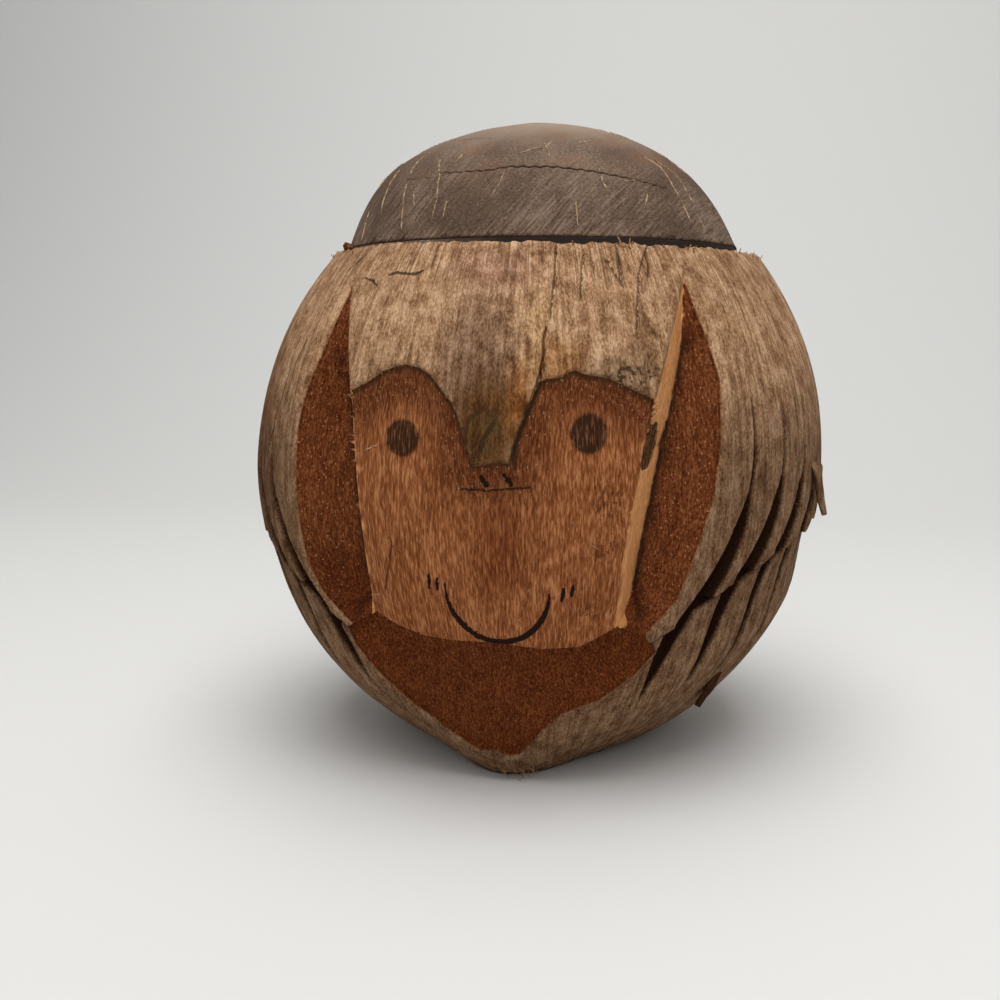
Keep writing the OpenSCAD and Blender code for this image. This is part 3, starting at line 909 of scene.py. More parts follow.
DRY_CRACKS = ((14.5, 139.8, 15.0, 132.5), (15.0, 133.5, 15.0, 121.5), (26.3, 136.0, 31.0, 129.1),
              (28.3, 139.8, 30.4, 129.6), (35.5, 140.0, 34.0, 131.5), (34.2, 132.0, 34.5, 118.0),
              (-14.6, 140.0, -15.4, 134.0), (21.0, 137.0, 21.4, 126.0), (-51.6, 117.0, -55.1, 110.2),
              (-56.7, 110.4, -59.6, 101.5), (-59.4, 102.0, -62.6, 93.1), (-62.4, 93.6, -65.0, 86.0),
              (-36.9, 138.8, -41.6, 134.9))


def oval(f, flat, place):
    """Shares of the way from an oval's middle to its edge, seen from the front."""
    off = f.vector("SUBTRACT", flat, (place[0], place[1], 0))
    return f.vector("LENGTH", f.vector("MULTIPLY", off, (1 / place[2], 1 / place[3], 0)), output=1)


def blot(f, flat, place, core, edge):
    """1 in the middle of an oval, falling to 0 between two shares of the way to its edge."""
    return f.fall(core, edge, oval(f, flat, place))


def stroke(f, flat, ends, width):
    """1 inside a straight stroke that narrows to its ends, 0 outside it."""
    x0, z0, x1, z1 = ends
    way = np.array([x1 - x0, z1 - z0, 0])
    off = f.vector("SUBTRACT", flat, (x0, z0, 0))
    t = f.vector("DOT_PRODUCT", off, (way / way.dot(way)).tolist(), output=1)
    t = f.node("ShaderNodeClamp", {}, {"Value": t})
    foot = f.vector("MULTIPLY", f.node("ShaderNodeCombineXYZ", {}, {"X": t, "Y": t}), way.tolist())
    half = f.math("MULTIPLY_ADD", t * (1 - t), 1.6 * width, 0.55 * width)
    return f.fall(0.6, 1.0, f.vector("DISTANCE", off, foot, output=1) / half)


def strokes(f, flat, paths, width):
    """1 inside any of several strokes."""
    return f.most(*[stroke(f, flat, ends, width) for ends in paths])


def burnt_marks(f, flat):
    """How burnt the face is by lines, and by the eyes with their soft edges."""
    eyes = f.most(*[blot(f, flat, eye, 0.8, 1.05) for eye in EYES], strokes(f, flat, WALL_MARK, 1.5))
    x, z = (f.node("ShaderNodeSeparateXYZ", {}, {0: flat}, i) for i in range(2))
    half = 0.022 + 0.042 * f.step(-0.5, 9.0, SMILE[1] - z)
    ring = f.math("ABSOLUTE", oval(f, flat, SMILE) - 1)
    smile = f.fall(0.7, 1.0, ring / half) * f.step(-0.2, 0.2, SMILE[1] - z - 0.09 * (x - SMILE[0]))
    lines = [share * strokes(f, flat, paths, width) for paths, width, share in BURNT_LINES]
    return f.most(smile, *lines), eyes


print(len(EYES), "eyes,", len(TICKS), "ticks beside the smile,", len(GOUGES), "gouges")

# %% [markdown]
# ## Husk finish
#
# One finish serves the rind and the fibre, so no seam shows between them: it
# reads how deep the knife went. On top is weathered rind, felt-like, with zones of
# tan, grey, orange and pink, fine dark hairlines near the saw cut and specks of
# mould, darkened low down and on the left as painted shade. Below it the fibre is
# orange-brown on the face, with short pale dashes along the grain, and deep
# red-brown in the ears and the beard, with small pale dots there and under the
# brows, which are the ends of cut fibres. Under the brows the fibre is darker,
# partly its own colour and partly painted shade, and the grooves and creases are
# darkened as painted shade, with some dirt in the grooves.

# %% Tones of the husk
FACE_TONES = ((0.38, (0.135, 0.038, 0.011)), (0.5, (0.25, 0.081, 0.026)), (0.63, (0.44, 0.184, 0.075)))
EAR_TONES = ((0.39, (0.054, 0.013, 0.0035)), (0.5, (0.126, 0.034, 0.009)), (0.62, (0.235, 0.082, 0.029)))
RIND_TONES = ((0.4, (0.145, 0.07, 0.032)), (0.5, (0.345, 0.188, 0.096)), (0.6, (0.57, 0.37, 0.22)))
WALL_TONES = ((0.4, (0.6, 0.25, 0.085)), (0.6, (0.88, 0.44, 0.18)))
# Darkening under the brows, partly the fibre's own colour and partly painted shade.
BROW_TINT = (0.52, 0.45, 0.42)
BROW_EDGE = (0.05, 0.024, 0.01)
BEARD_TINT = (0.85, 0.72, 0.58)
MUZZLE_TINT = (0.7, 0.6, 0.55)
TORN = ((29.3, 79.5, 4.2, 6.2), (28.8, 69.0, 4.6, 5.2), (24.0, 52.5, 3.0, 2.4))
TORN_SHADE = (0.075, 0.022, 0.008)
PALE_DASH = (0.5, 0.27, 0.125)
PALE_DOT = (0.48, 0.26, 0.12)
HAIRLINE = (0.1, 0.05, 0.024)
MOULD = (0.03, 0.016, 0.008)
# Painted shade in grooves and creases, with some dirt; also the dark splinter's own colour.
SHADE_AND_DIRT = (0.014, 0.006, 0.003)
BURNT = (0.014, 0.007, 0.004)
SOOT = (0.028, 0.011, 0.005)
RIND_ZONES = (
    (-1.0, 114.0, 13.0, 18.0, (0.62, 0.61, 0.64)), (2.5, 98.0, 12.0, 17.0, (0.47, 0.35, 0.21)),
    (17.5, 111.0, 7.0, 8.0, (0.8, 0.68, 0.52)), (9.0, 105.0, 3.5, 11.0, (0.98, 0.78, 0.54)),
    (12.5, 119.0, 3.0, 11.0, (1.1, 1.12, 1.0)), (1.0, 134.0, 15.0, 6.0, (0.85, 0.8, 0.88)),
    (36.0, 120.0, 2.2, 14.0, (0.62, 0.58, 0.55)), (31.0, 108.5, 9.0, 7.0, (0.72, 0.74, 0.74)))
# Painted shade on the lower rind.
LOW_PAINTED_SHADE = (0.52, 0.5, 0.49)
# Painted shade on the rind's left side, with a brown painted reflection.
LEFT_PAINTED_SHADE = (0.58, 0.5, 0.42)
NOSE_MOULD = (1.4, 96.0, 4.9, 5.8)
NOSE_DRIP = ((1.3, 95.0, 0.3, 89.6), (4.4, 99.4, 1.3, 94.4), (5.4, 98.4, 5.6, 92.8))
NOSE_TINT = (0.62, 0.72, 0.7)
CHEEK_MOULD = (34.5, 108.6, 8.0, 4.0)
MUZZLE = (3.5, 68.0, 11.0, 18.0)
EAR_SHADE = (-43.0, 52.0, 11.0, 15.0)
EAR_SHADE_TINT = (0.66, 0.55, 0.45)
LOW_RIND_Z = (80.0, 118.0)
LEFT_RIND_X = (-72.0, -54.0)
HAIRLINE_Z = (120.0, 137.0)
CLEANER_Z = (85.0, 112.0)
BEARD_Z = (38.0, 54.0)
DOTTED_Z = (44.0, 60.0)
RIND_FRONT_Y = (-50.0, -40.0)
FACE_FRONT_Y = (-45.0, -35.0)
print("rind zones:", len(RIND_ZONES))

# %% Rind colour
def flat_place(f, x, z, blur, width):
    """The place as seen from the front, with its edges roughened by noise."""
    off = (blur - 0.5) * width
    return f.node("ShaderNodeCombineXYZ", {}, {"X": x + off, "Y": z + off})


def rind_colour(f, place, grain, x, y, z):
    """Weathered rind: felt-like mottle, coloured zones, hairlines, gouges and mould, with painted shade low
    down and on the left.
    """
    felt = f.clouds(grain, (0.46, 0.46, 0.9), 3, 0.6)
    mottle = f.clouds(place, (3.2, 3.2, 5.0), 3)
    streak = f.clouds(grain, (1.1, 1.1, 24), 3)
    colour = f.ramp(felt * 0.42 + mottle * 0.32 + streak * 0.26, *RIND_TONES)
    front = f.fall(*RIND_FRONT_Y, y)
    broad, fine = flat_place(f, x, z, mottle, 9.0), flat_place(f, x, z, felt, 1.3)
    for *zone, tint in RIND_ZONES:
        colour = f.tint(blot(f, broad, zone, 0.35, 1.1) * front, colour, tint)
    # Darker towards the bottom, as painted shade.
    colour = f.tint(f.fall(*LOW_RIND_Z, z), colour, LOW_PAINTED_SHADE)
    # Darker and browner on the left, as painted shade with a brown painted reflection.
    colour = f.tint(f.fall(*LEFT_RIND_X, x), colour, LEFT_PAINTED_SHADE)
    hairs = f.step(0.55, 0.63, f.clouds(grain, (0.5, 0.5, 26), 1)) * f.step(*HAIRLINE_Z, z)
    colour = f.mix(hairs * 0.55, colour, HAIRLINE)
    specks = f.fall(0.12, 0.28, f.dots(place, 0.95))
    mouldy = f.step(0.5, 0.64, f.clouds(place, 8, 2)) * (0.75 - 0.25 * f.step(*CLEANER_Z, z))
    cheek = blot(f, broad, CHEEK_MOULD, 0.5, 1.1) * front
    patch = f.step(0.47, 0.6, f.clouds(place, 1.3, 3)) * cheek
    lines = f.most(strokes(f, fine, GOUGES, 0.4), 0.8 * strokes(f, fine, DRY_CRACKS, 0.26)) * front
    colour = f.mix(f.most(specks * mouldy, patch * 0.85, lines * 0.85), colour, MOULD)
    edge = oval(f, flat_place(f, x, z, mottle, 5.0), NOSE_MOULD)
    nose = f.fall(0.75, 1.1, edge) * front
    colour = f.tint(nose * (0.25 + 0.75 * f.step(0.42, 0.6, mottle)), colour, NOSE_TINT)
    above = f.step(-1.5, 1.5, z - NOSE_MOULD[1] - 0.8 * x)
    hem = f.fall(0.05, 0.2, f.math("ABSOLUTE", edge - 0.92)) * above
    dark = f.most(hem, strokes(f, fine, NOSE_DRIP, 0.8)) * nose
    return f.mix(dark * (0.5 + 0.4 * f.step(0.4, 0.56, felt)), colour, MOULD), lines


print("marks on the rind:", len(GOUGES), "gouges and", len(DRY_CRACKS), "dry cracks")

# %% Fibre colour
def fibre_colour(f, place, grain, flat, z, marks, thin):
    """Pared fibre: orange on the face, red in the ears and the beard, darker under the brows, partly as
    painted shade.
    """
    broad = f.clouds(grain, (2.2, 2.2, 14), 2)
    speck = f.clouds(place, (0.5, 0.5, 0.8), 2)
    tone = thin * 0.78 + broad * 0.22
    face = f.ramp(tone, *FACE_TONES)
    dash = f.fall(0.1, 0.2, f.dots(grain, (0.8, 0.8, 3.4)))
    face = f.mix(dash * 0.5, face, PALE_DASH)
    torn = f.most(*[blot(f, flat, patch, 0.5, 1.2) for patch in TORN])
    torn = torn * f.step(0.52, 0.6, f.clouds(place, (0.7, 0.7, 1.4), 2))
    face = f.mix(torn * 0.7, face, TORN_SHADE)
    face = f.tint(blot(f, flat, MUZZLE, 0.2, 1.1), face, MUZZLE_TINT)
    # Below the brow's edge the fibre is darker, partly its own colour and partly painted shade.
    shade = f.step(0.0, 0.75, marks["brow"])
    face = f.tint(shade, face, BROW_TINT)
    face = f.mix(f.step(0.87, 0.95, marks["brow"]) * 0.6, face, BROW_EDGE)
    ears = f.ramp(thin * 0.45 + speck * 0.4 + broad * 0.15, *EAR_TONES)
    ears = f.tint(f.fall(*BEARD_Z, z), ears, BEARD_TINT)
    ears = f.tint(blot(f, flat, EAR_SHADE, 0.4, 1.2), ears, EAR_SHADE_TINT)
    dot = f.fall(0.08, 0.2, f.dots(grain, (0.85, 0.85, 1.9)))
    colour = f.mix(marks["red"], face, ears)
    dotted = f.most(marks["red"] * (0.3 + 0.45 * f.step(*DOTTED_Z, z)), shade * 0.75)
    colour = f.mix(dot * dotted, colour, PALE_DOT)
    return f.mix(marks["wall"] * 0.9, colour, f.ramp(tone, *WALL_TONES))


print("torn patches on the face:", len(TORN))

# %% Husk finish
def husk_finish():
    """The finish of the whole husk, told apart by the knife's depth."""
    f = Finish("carved_husk")
    place, (x, y, z) = f.spot()
    grain = f.mark("grain", "Vector")
    marks = {name: f.mark(name) for name in ("cut", "red", "dark", "wall", "brow")}
    thin = f.clouds(grain, (0.42, 0.42, 3.0), 3, 0.6)
    wobble = f.clouds(place, 0.9, 1)
    flat = flat_place(f, x, z, wobble, 0.8)
    bare = f.step(RIND_T - 0.2, RIND_T + 0.2, marks["cut"] + (wobble - 0.5) * 0.4)
    skin, gouged = rind_colour(f, place, grain, x, y, z)
    colour = f.mix(bare, skin, fibre_colour(f, place, grain, flat, z, marks, thin))
    # Painted shade in the grooves and ear creases, with some dirt in the grooves.
    colour = f.mix(marks["dark"] * 0.93, colour, SHADE_AND_DIRT)
    lines, eyes = burnt_marks(f, flat)
    front = f.fall(*FACE_FRONT_Y, y)
    shown = front * bare
    colour = f.mix(eyes * shown * (0.95 - 0.25 * f.step(0.52, 0.62, thin)), colour, SOOT)
    colour = f.mix(lines * shown, colour, BURNT)
    crease = strokes(f, flat, NOSE_CRACK, 0.75) * front * f.step(0.36, 0.52, thin)
    colour = f.mix(crease * 0.85, colour, MOULD)
    height = thin * 0.45 + f.clouds(grain, (1.1, 1.1, 7), 2) * 0.55 - f.most(lines, gouged) * 0.8
    return f.close(colour, 0.88 - 0.1 * bare, height, 0.32, gloss=0.06)


carved_husk = husk_finish()
for piece in (husk, rind):
    piece.data.materials.append(carved_husk)
print("husk finish nodes:", len(carved_husk.node_tree.nodes))

# %% [markdown]
# ## Lid and cup
#
# The lid is the crown of the nut: a bowl of hard shell, matt and grey-brown
# outside, sanded in slanting lines, with one long and two short cracks across the
# front. It isn't a true ball: the shoulder is fuller than the crown, and a small
# knob marks the top. The cup is the rest of the nut, seen when the lid is lifted: a
# sawn rim, a brown inside, and the three pores of every coconut at the bottom. Both
# are closed nets over turn and run, like the husk, and the lid's net is split
# along its cracks.

# %% Lid form
LID_POLAR = np.arccos((LID_Z - NUT_Z) / NUT_R)
LID_CRACK = ((-26, 46.6), (-17.7, 46.9), (-8.3, 46.7), (-6, 46.3), (-1.5, 45.6), (11.2, 45.8),
             (25.5, 46.9), (39.2, 48.6), (51.6, 50.4))
LID_CRACKS = ((LID_CRACK, 0.34, 0.9), (((-41, 47.6), (-28, 48.0)), 0.2, 0.4),
              (((-40, 31), (-14, 32.4)), 0.2, 0.4))
SHOULDER, LEFT_SHOULDER = 1.3, 1.6
KNOB_RISE, KNOB_SPREAD = 0.9, 0.13
LID_LUMPS = ((0.28, 19), (0.12, 6))
RIM_CHIPS = ((0.28, 1.6), (0.22, 5))
RIM_RAISE = 0.25


def lid_crack(turn, polar):
    """Depth of the lid's cracks, heavy in the middle and thin at the ends."""
    side = np.degrees(turn)
    depth = np.zeros(turn.shape)
    for path, width, deep in LID_CRACKS:
        t = (side - path[0][0]) / (path[-1][0] - path[0][0])
        off = np.abs(np.degrees(polar) - line(side, *path) - 0.15 * np.sin(side * 1.7)) * np.radians(NUT_R)
        half = width * (0.35 + 0.65 * np.sin(np.pi * np.clip(t, 0, 1)) ** 0.7)
        inside = (t > 0) & (t < 1)
        depth = np.maximum(depth, np.where(inside, deep * (1 - soft_step(0.3 * half, half, off)), 0))
    return depth


def lid_surface(turn, run):
    """Places on the lid: 0 to 1 is its outside from the top, 1 to 2 its rim, 2 to 3 its inside."""
    polar = LID_POLAR * np.clip(np.where(run > 2, 3 - run, run), 0, 1)
    share = polar / LID_POLAR
    left = 0.5 - 0.5 * np.sin(turn)
    bulge = (SHOULDER + LEFT_SHOULDER * left) * np.sin(np.pi * share ** 1.6) ** 1.5
    bulge = bulge + KNOB_RISE * np.exp(-(share / KNOB_SPREAD) ** 2)
    flat = direction(turn, np.pi - polar)
    cut = np.where(run < 1, lid_crack(turn, polar), 0)
    lumpy = layered(flat * NUT_R, LID_LUMPS)
    wall = np.where(run > 2, SHELL_T, SHELL_T * np.clip(run - 1, 0, 1))
    reach = NUT_R + np.where(run > 2, 0, bulge + lumpy * (1 - share ** 8)) - cut - wall
    place = NUT + flat * reach[:, None]
    chipped = RIM_RAISE + layered(flat * NUT_R, RIM_CHIPS)
    on_rim = soft_step(0.97, 1, run) * (1 - soft_step(2, 2.05, run))
    place[:, 2] += np.clip(chipped, 0, None) * on_rim
    place[:, 2] = np.maximum(place[:, 2], LID_Z)
    return place, {"cut": cut, "inner": np.clip(run - 1, 0, 1)}


LID_RUNS = [0, *np.linspace(0.03, 1, 34), 1.5, *np.linspace(2, 2.95, 16), 3]
LID_COLUMNS = 150
LID_PASSES = ((1.2, 0.05), (0.6, 0.05), (0.35, 0.05), (0.25, 0.06))
LID_SPAN = (0.05, 1)


def lid_spacing(place):
    """The same spacing all over the lid."""
    return np.ones(len(place))


lid_net = fit_net(lid_surface, starting_net(LID_RUNS, LID_COLUMNS), LID_PASSES, lid_spacing, LID_SPAN)
lid_place, lid_marks = lid_surface(*lid_net[1:])
lid = new_piece("lid_shell", lid_place, lid_net[0][:, ::-1], lid_marks)
hand_over(lid, "lid", "shell", "shell_lid")
print("lid faces", len(lid.data.polygons), "top at", round(lid_place[:, 2].max(), 2))

# %% Cup form
PORE_R, PORE_PITCH_R, PORE_DEPTH = 4.0, 12.0, 1.5
PORE_TURNS = np.radians((90, 210, 330))
RIM_GAP = 0.02
CUP_LUMPS = ((0.25, 15), (0.1, 4))


def cup_surface(turn, run):
    """Places on the cup: 0 to 1 is its outside from below, 1 to 2 its rim, 2 to 3 its inside."""
    flat = direction(turn, (np.pi - LID_POLAR) * np.clip(np.where(run > 2, 3 - run, run), 0, 1))
    reach = NUT_R - SHELL_T * np.clip(run - 1, 0, 1)
    lumpy = np.where(run > 2, layered(flat * NUT_R, CUP_LUMPS), 0)
    place = NUT + flat * (reach + lumpy)[:, None]
    pore = np.zeros(turn.shape)
    for side in PORE_TURNS:
        middle = PORE_PITCH_R * np.array([np.sin(side), -np.cos(side)])
        off = np.hypot(*(flat[:, :2] * reach[:, None] - middle).T)
        pore = np.maximum(pore, 1 - soft_step(0.55, 1.0, off / PORE_R))
    pore = np.where((run > 2) & (flat[:, 2] < 0), pore, 0)
    place[:, 2] -= PORE_DEPTH * pore
    place[:, 2] = np.minimum(place[:, 2], LID_Z - RIM_GAP)
    return place, {"cut": np.zeros(turn.shape), "inner": np.clip(run - 1, 0, 1), "pore": pore}


CUP_RUNS = [0, *np.linspace(0.05, 1, 24), 1.5, *np.linspace(2, 2.97, 44), 3]
CUP_COLUMNS = 144
cup_tris, cup_turn, cup_run = starting_net(CUP_RUNS, CUP_COLUMNS)
cup_place, cup_marks = cup_surface(cup_turn, cup_run)
cup = new_piece("cup_shell", cup_place, cup_tris, cup_marks)
hand_over(cup, "head", "shell", "shell_cup")
print("cup faces", len(cup.data.polygons), "rim at", round(cup_place[:, 2].max(), 2))

# %% [markdown]
# ## Shell finish
#
# The outside of the shell was scraped and sanded, always with the same slant, so
# fine pale and dark lines cross it. Towards the crown the lines fade, and the top
# is painted paler as painted light, with orange-brown patches. The cracks and the
# pores are dark, and a band at the join of lid and cup is painted dark as painted
# shadow. The sawn rim is a speckled brown, and the inside a plain brown.

# %% Shell finish
SHELL_TONES = ((0.38, (0.06, 0.037, 0.024)), (0.5, (0.128, 0.083, 0.057)), (0.64, (0.25, 0.176, 0.126)))
# A paler tone for the top of the lid, as painted light.
APEX_PAINTED_LIGHT = (0.34, 0.25, 0.185)
CROWN_TONE = (0.2, 0.098, 0.048)
INNER_TONES = ((0.3, (0.11, 0.05, 0.022)), (0.55, (0.2, 0.1, 0.05)), (0.75, (0.3, 0.17, 0.09)))
SAWN_TONE = (0.23, 0.13, 0.075)
# The dark of cracks, pores and rim specks, also used for painted shadow under the lid's rim.
DARK_MARK_AND_SHADOW_TONE = (0.015, 0.01, 0.008)
SANDED_SLANT = np.radians(-38)
CROWN_Z, APEX_Z = (150.0, 166.0), (164.0, 178.0)
RIM_SHADOW_Z, RIM_SHADOW_X = (141.7, 142.5), (-32.0, 4.0)


def shell_finish():
    """Hard shell: sanded lines outside, sawn rim, brown inside."""
    f = Finish("nut_shell")
    place, (x, _, z) = f.spot()
    slanted = f.node("ShaderNodeVectorRotate", {"rotation_type": "EULER_XYZ"},
                     {"Vector": place, "Rotation": (0.0, SANDED_SLANT, 0.0)})
    sanded = f.clouds(slanted, (0.62, 7, 7), 2)
    fine = f.clouds(slanted, (0.34, 5, 5), 2)
    patch = f.clouds(place, 14, 3)
    grit = f.clouds(place, 0.6, 2)
    lower = 0.12 + 0.88 * f.fall(*CROWN_Z, z) * f.step(0.3, 0.46, patch)
    lines = (sanded * 0.55 + fine * 0.45 - 0.5) * lower
    tone = lines * 0.6 + patch * 0.3 + grit * 0.3 + 0.2
    colour = f.ramp(tone, *SHELL_TONES)
    # The top of the lid is painted paler, as painted light.
    colour = f.mix(f.step(*APEX_Z, z) * 0.9, colour, APEX_PAINTED_LIGHT)
    crown = f.step(0.5, 0.66, f.clouds(place, 9, 3)) * f.step(*CROWN_Z, z)
    colour = f.mix(crown * 0.35, colour, CROWN_TONE)
    # A band at the join of lid and cup, mostly on the right, is painted dark as the shadow in the gap.
    colour = f.mix(f.fall(*RIM_SHADOW_Z, z) * f.step(*RIM_SHADOW_X, x), colour, DARK_MARK_AND_SHADOW_TONE)
    inner = f.mark("inner")
    inside = f.ramp(f.clouds(place, (2.5, 2.5, 14), 3), *INNER_TONES)
    rim = f.mix(f.step(0.45, 0.6, grit) * 0.4, SAWN_TONE, DARK_MARK_AND_SHADOW_TONE)
    colour = f.mix(f.step(0.02, 0.12, inner), colour, rim)
    colour = f.mix(f.step(0.93, 1.0, inner), colour, inside)
    colour = f.mix(f.step(0.1, 0.45, f.mark("cut")), colour, DARK_MARK_AND_SHADOW_TONE)
    colour = f.mix(f.mark("pore") * 0.7, colour, DARK_MARK_AND_SHADOW_TONE)
    height = lines + grit * 0.3
    return f.close(colour, 0.66 + 0.25 * fine, height, 0.3, gloss=0.08)


nut_shell = shell_finish()
for piece in (lid, cup):
    piece.data.materials.append(nut_shell)
print("shell finish nodes:", len(nut_shell.node_tree.nodes))

# %% [markdown]
# ## Splinters of rind
#
# A strip of rind has peeled off beside the belly and hangs by its upper end, a
# dark splinter hangs under the hair, and a curl of fibre lies on the sawn top.
# Each is a strip swept along a few points: its cross-section is a flat, ridged oval
# whose width and thickness change on the way, and both ends are closed.

# %% Swept strip
STRIP_ROWS, STRIP_COLUMNS = 26, 12
SMOOTHINGS = 3


def spread(t, values):
    """Values spread evenly from 0 to 1, read off at t."""
    return np.interp(t, np.linspace(0, 1, len(values)), values)


def swept_strip(name, path, wide, thick, out, phase, cut=1.3, dark=0.0):
    """A closed strip along a path, flat to the direction out, with ridges shifted by a phase."""
    t = np.linspace(0, 1, STRIP_ROWS)
    middle = np.stack([spread(t, axis) for axis in np.transpose(path)], axis=-1)
    for _ in range(SMOOTHINGS):
        middle[1:-1] = (middle[:-2] + 2 * middle[1:-1] + middle[2:]) / 4
    along = np.gradient(middle, axis=0)
    along /= np.linalg.norm(along, axis=1)[:, None]
    across = np.cross(along, out)
    across /= np.linalg.norm(across, axis=1)[:, None]
    face = np.cross(across, along)
    ring = np.radians(np.arange(STRIP_COLUMNS) * 360 / STRIP_COLUMNS)
    ridge = 1 + 0.22 * np.sin(3 * ring[None] + phase) + 0.16 * np.sin(7 * ring[None] + 9 * t[:, None] + phase)
    wide_way = spread(t, wide)[:, None] / 2 * np.cos(ring) * ridge
    thick_way = spread(t, thick)[:, None] / 2 * np.sin(ring) * ridge
    rings = middle[:, None] + wide_way[..., None] * across[:, None] + thick_way[..., None] * face[:, None]
    places = np.concatenate([rings.reshape(-1, 3), middle[[0, -1]]])
    flat_marks = {"cut": cut, "red": 0.5, "dark": dark, "wall": 0.0, "brow": 0.0}
    marks = {mark: np.full(len(places), value) for mark, value in flat_marks.items()}
    marks["grain"] = places * (1, 1, 0.3)
    piece = new_piece(name, places, tube_faces(STRIP_ROWS, STRIP_COLUMNS), marks)
    mesh = piece.data
    volume = sum(mesh.vertices[p.vertices[0]].co.dot(p.normal) * p.area for p in mesh.polygons)
    if volume < 0:
        mesh.flip_normals()
    mesh.materials.append(carved_husk)
    return piece


def rind_spot(turn, height, lift):
    """A place that stands off the rind by lift, at a turn in degrees and a height."""
    angle = np.radians(np.array([float(turn)]))
    slope = slope_at(angle, np.array([float(height)]))
    d = direction(angle, slope)[0]
    return BELLY + d * (uncut_reach(angle, slope)[0] + lift)


def turned_out(turn):
    """The direction straight out of the husk at a turn in degrees."""
    return np.array([np.sin(np.radians(turn)), -np.cos(np.radians(turn)), 0])


print("faces of a strip:", len(tube_faces(STRIP_ROWS, STRIP_COLUMNS)))

# %% Splinters
STRIP_SPOTS = ((75, 84.5, -0.8), (75, 82.5, 1.0), (75.5, 78, 1.4), (76, 73.5, 2.4), (76, 70.3, 3.8))
STRIP_WIDE, STRIP_THICK = (3.8, 6.8, 5.8, 5.2, 4.4, 2.2), (1.4, 2.4, 1.6, 1.5, 1.4)
SPLINTER_SPOTS = ((61, 27, -0.6), (60.5, 24, 0.3), (60, 21, 1.0), (59.5, 18.5, 1.8))
SPLINTER_WIDE, SPLINTER_THICK = (3.2, 3.0, 2.6, 1.6), (1.4, 1.8, 1.5)
CURL_TURN, CURL_R = -54, 57.6
CURL_STEPS = ((1.6, -2.8, 0.2), (0.8, -1.4, 1.1), (0, 0, 1.4), (-0.9, 1.3, 1.0), (-1.4, 2.9, 0.3))
CURL_WIDE, CURL_THICK = (1.2, 2.2, 2.0, 1.0), (0.9, 1.5, 1.3, 0.8)
UP = np.array([0, 0, 1])

strip_path = [rind_spot(*spot) for spot in STRIP_SPOTS]
strip = swept_strip("hanging_strip", strip_path, STRIP_WIDE, STRIP_THICK, turned_out(75), 0.4, cut=0.0)
hand_over(strip, "head", "rind", "peeled_strip")
splinter_path = [rind_spot(*spot) for spot in SPLINTER_SPOTS]
splinter = swept_strip("dark_splinter", splinter_path, SPLINTER_WIDE, SPLINTER_THICK, turned_out(61), 2.1,
                       dark=0.9)
hand_over(splinter, "head", "rind", "base_splinter")
curl_path = CURL_R * turned_out(CURL_TURN) + HUSK_TOP * UP + np.array(CURL_STEPS)
curl = swept_strip("sawn_curl", curl_path, CURL_WIDE, CURL_THICK, UP, 1.3, dark=0.4)
hand_over(curl, "head", "fibre", "rim_curl")
print("splinters:", [p.name for p in (strip, splinter, curl)])

# %% [markdown]
# ## Loose fibres
#
# Where the knife and the saw crossed the grain, fibres stand out: along the sawn
# top, at the chin and here and there on the face. Fine pale fibres also stick to
# the lid in scars that run down from the crown. They all repeat one shape, so
# Geometry Nodes places it: one bent, tapered strand is made once and set on every
# point of a small point mesh, turned to the direction that the point carries.

# %% Strand tree
STRAND_SEED = 5
STRAND_BENDS, STRAND_SIDES = 5, 4
STRAND_TIP = 0.35
FULL_TURN = 6.283


def strand_tree(finish):
    """Nodes that put a bent, tapered strand on each point, along the point's own direction."""
    tree = bpy.data.node_groups.new("loose_strands", "GeometryNodeTree")
    face = tree.interface
    face.new_socket("Points", in_out="INPUT", socket_type="NodeSocketGeometry")
    bend = face.new_socket("Bend", in_out="INPUT", socket_type="NodeSocketFloat")
    face.new_socket("Strands", in_out="OUTPUT", socket_type="NodeSocketGeometry")
    web = Web(tree)
    node = web.node
    points, bow = (node("NodeGroupInput", {}, {}, name) for name in ("Points", "Bend"))
    sag = node("ShaderNodeCombineXYZ", {}, {"X": bow, "Z": 0.5})
    curve = node("GeometryNodeCurveQuadraticBezier", {}, {"Resolution": STRAND_BENDS, "Start": (0, 0, 0),
                                                          "Middle": sag, "End": (0, 0, 1)})
    way = node("GeometryNodeSplineParameter", {}, {}, "Factor")
    taper = node("ShaderNodeMapRange", {}, {"Value": way, "To Min": 1.0, "To Max": STRAND_TIP})
    thin = node("GeometryNodeSetCurveRadius", {}, {"Curve": curve, "Radius": taper})
    ring = node("GeometryNodeCurvePrimitiveCircle", {}, {"Resolution": STRAND_SIDES})
    body = node("GeometryNodeCurveToMesh", {}, {"Curve": thin, "Profile Curve": ring, "Scale": taper,
                                                "Fill Caps": True})
    lie, size = (node("GeometryNodeInputNamedAttribute", {"data_type": "FLOAT_VECTOR"}, {"Name": mark})
                 for mark in ("lie", "size"))
    aim = node("FunctionNodeAlignRotationToVector", {"axis": "Z"}, {"Vector": lie})
    placed = node("GeometryNodeInstanceOnPoints", {}, {"Points": points, "Instance": body, "Rotation": aim,
                                                       "Scale": size})
    roll = node("FunctionNodeRandomValue", {"data_type": "FLOAT"}, {3: FULL_TURN, "Seed": STRAND_SEED}, 1)
    twist = node("ShaderNodeCombineXYZ", {}, {"Z": roll})
    turned = node("GeometryNodeRotateInstances", {}, {"Instances": placed, "Rotation": twist})
    real = node("GeometryNodeRealizeInstances", {}, {"Geometry": turned})
    painted = node("GeometryNodeSetMaterial", {}, {"Geometry": real, "Material": finish})
    web.feed(tree.nodes.new("NodeGroupOutput"), {0: painted})
    return tree, bend.identifier


print("strand:", STRAND_BENDS, "steps long,", STRAND_SIDES, "sides")

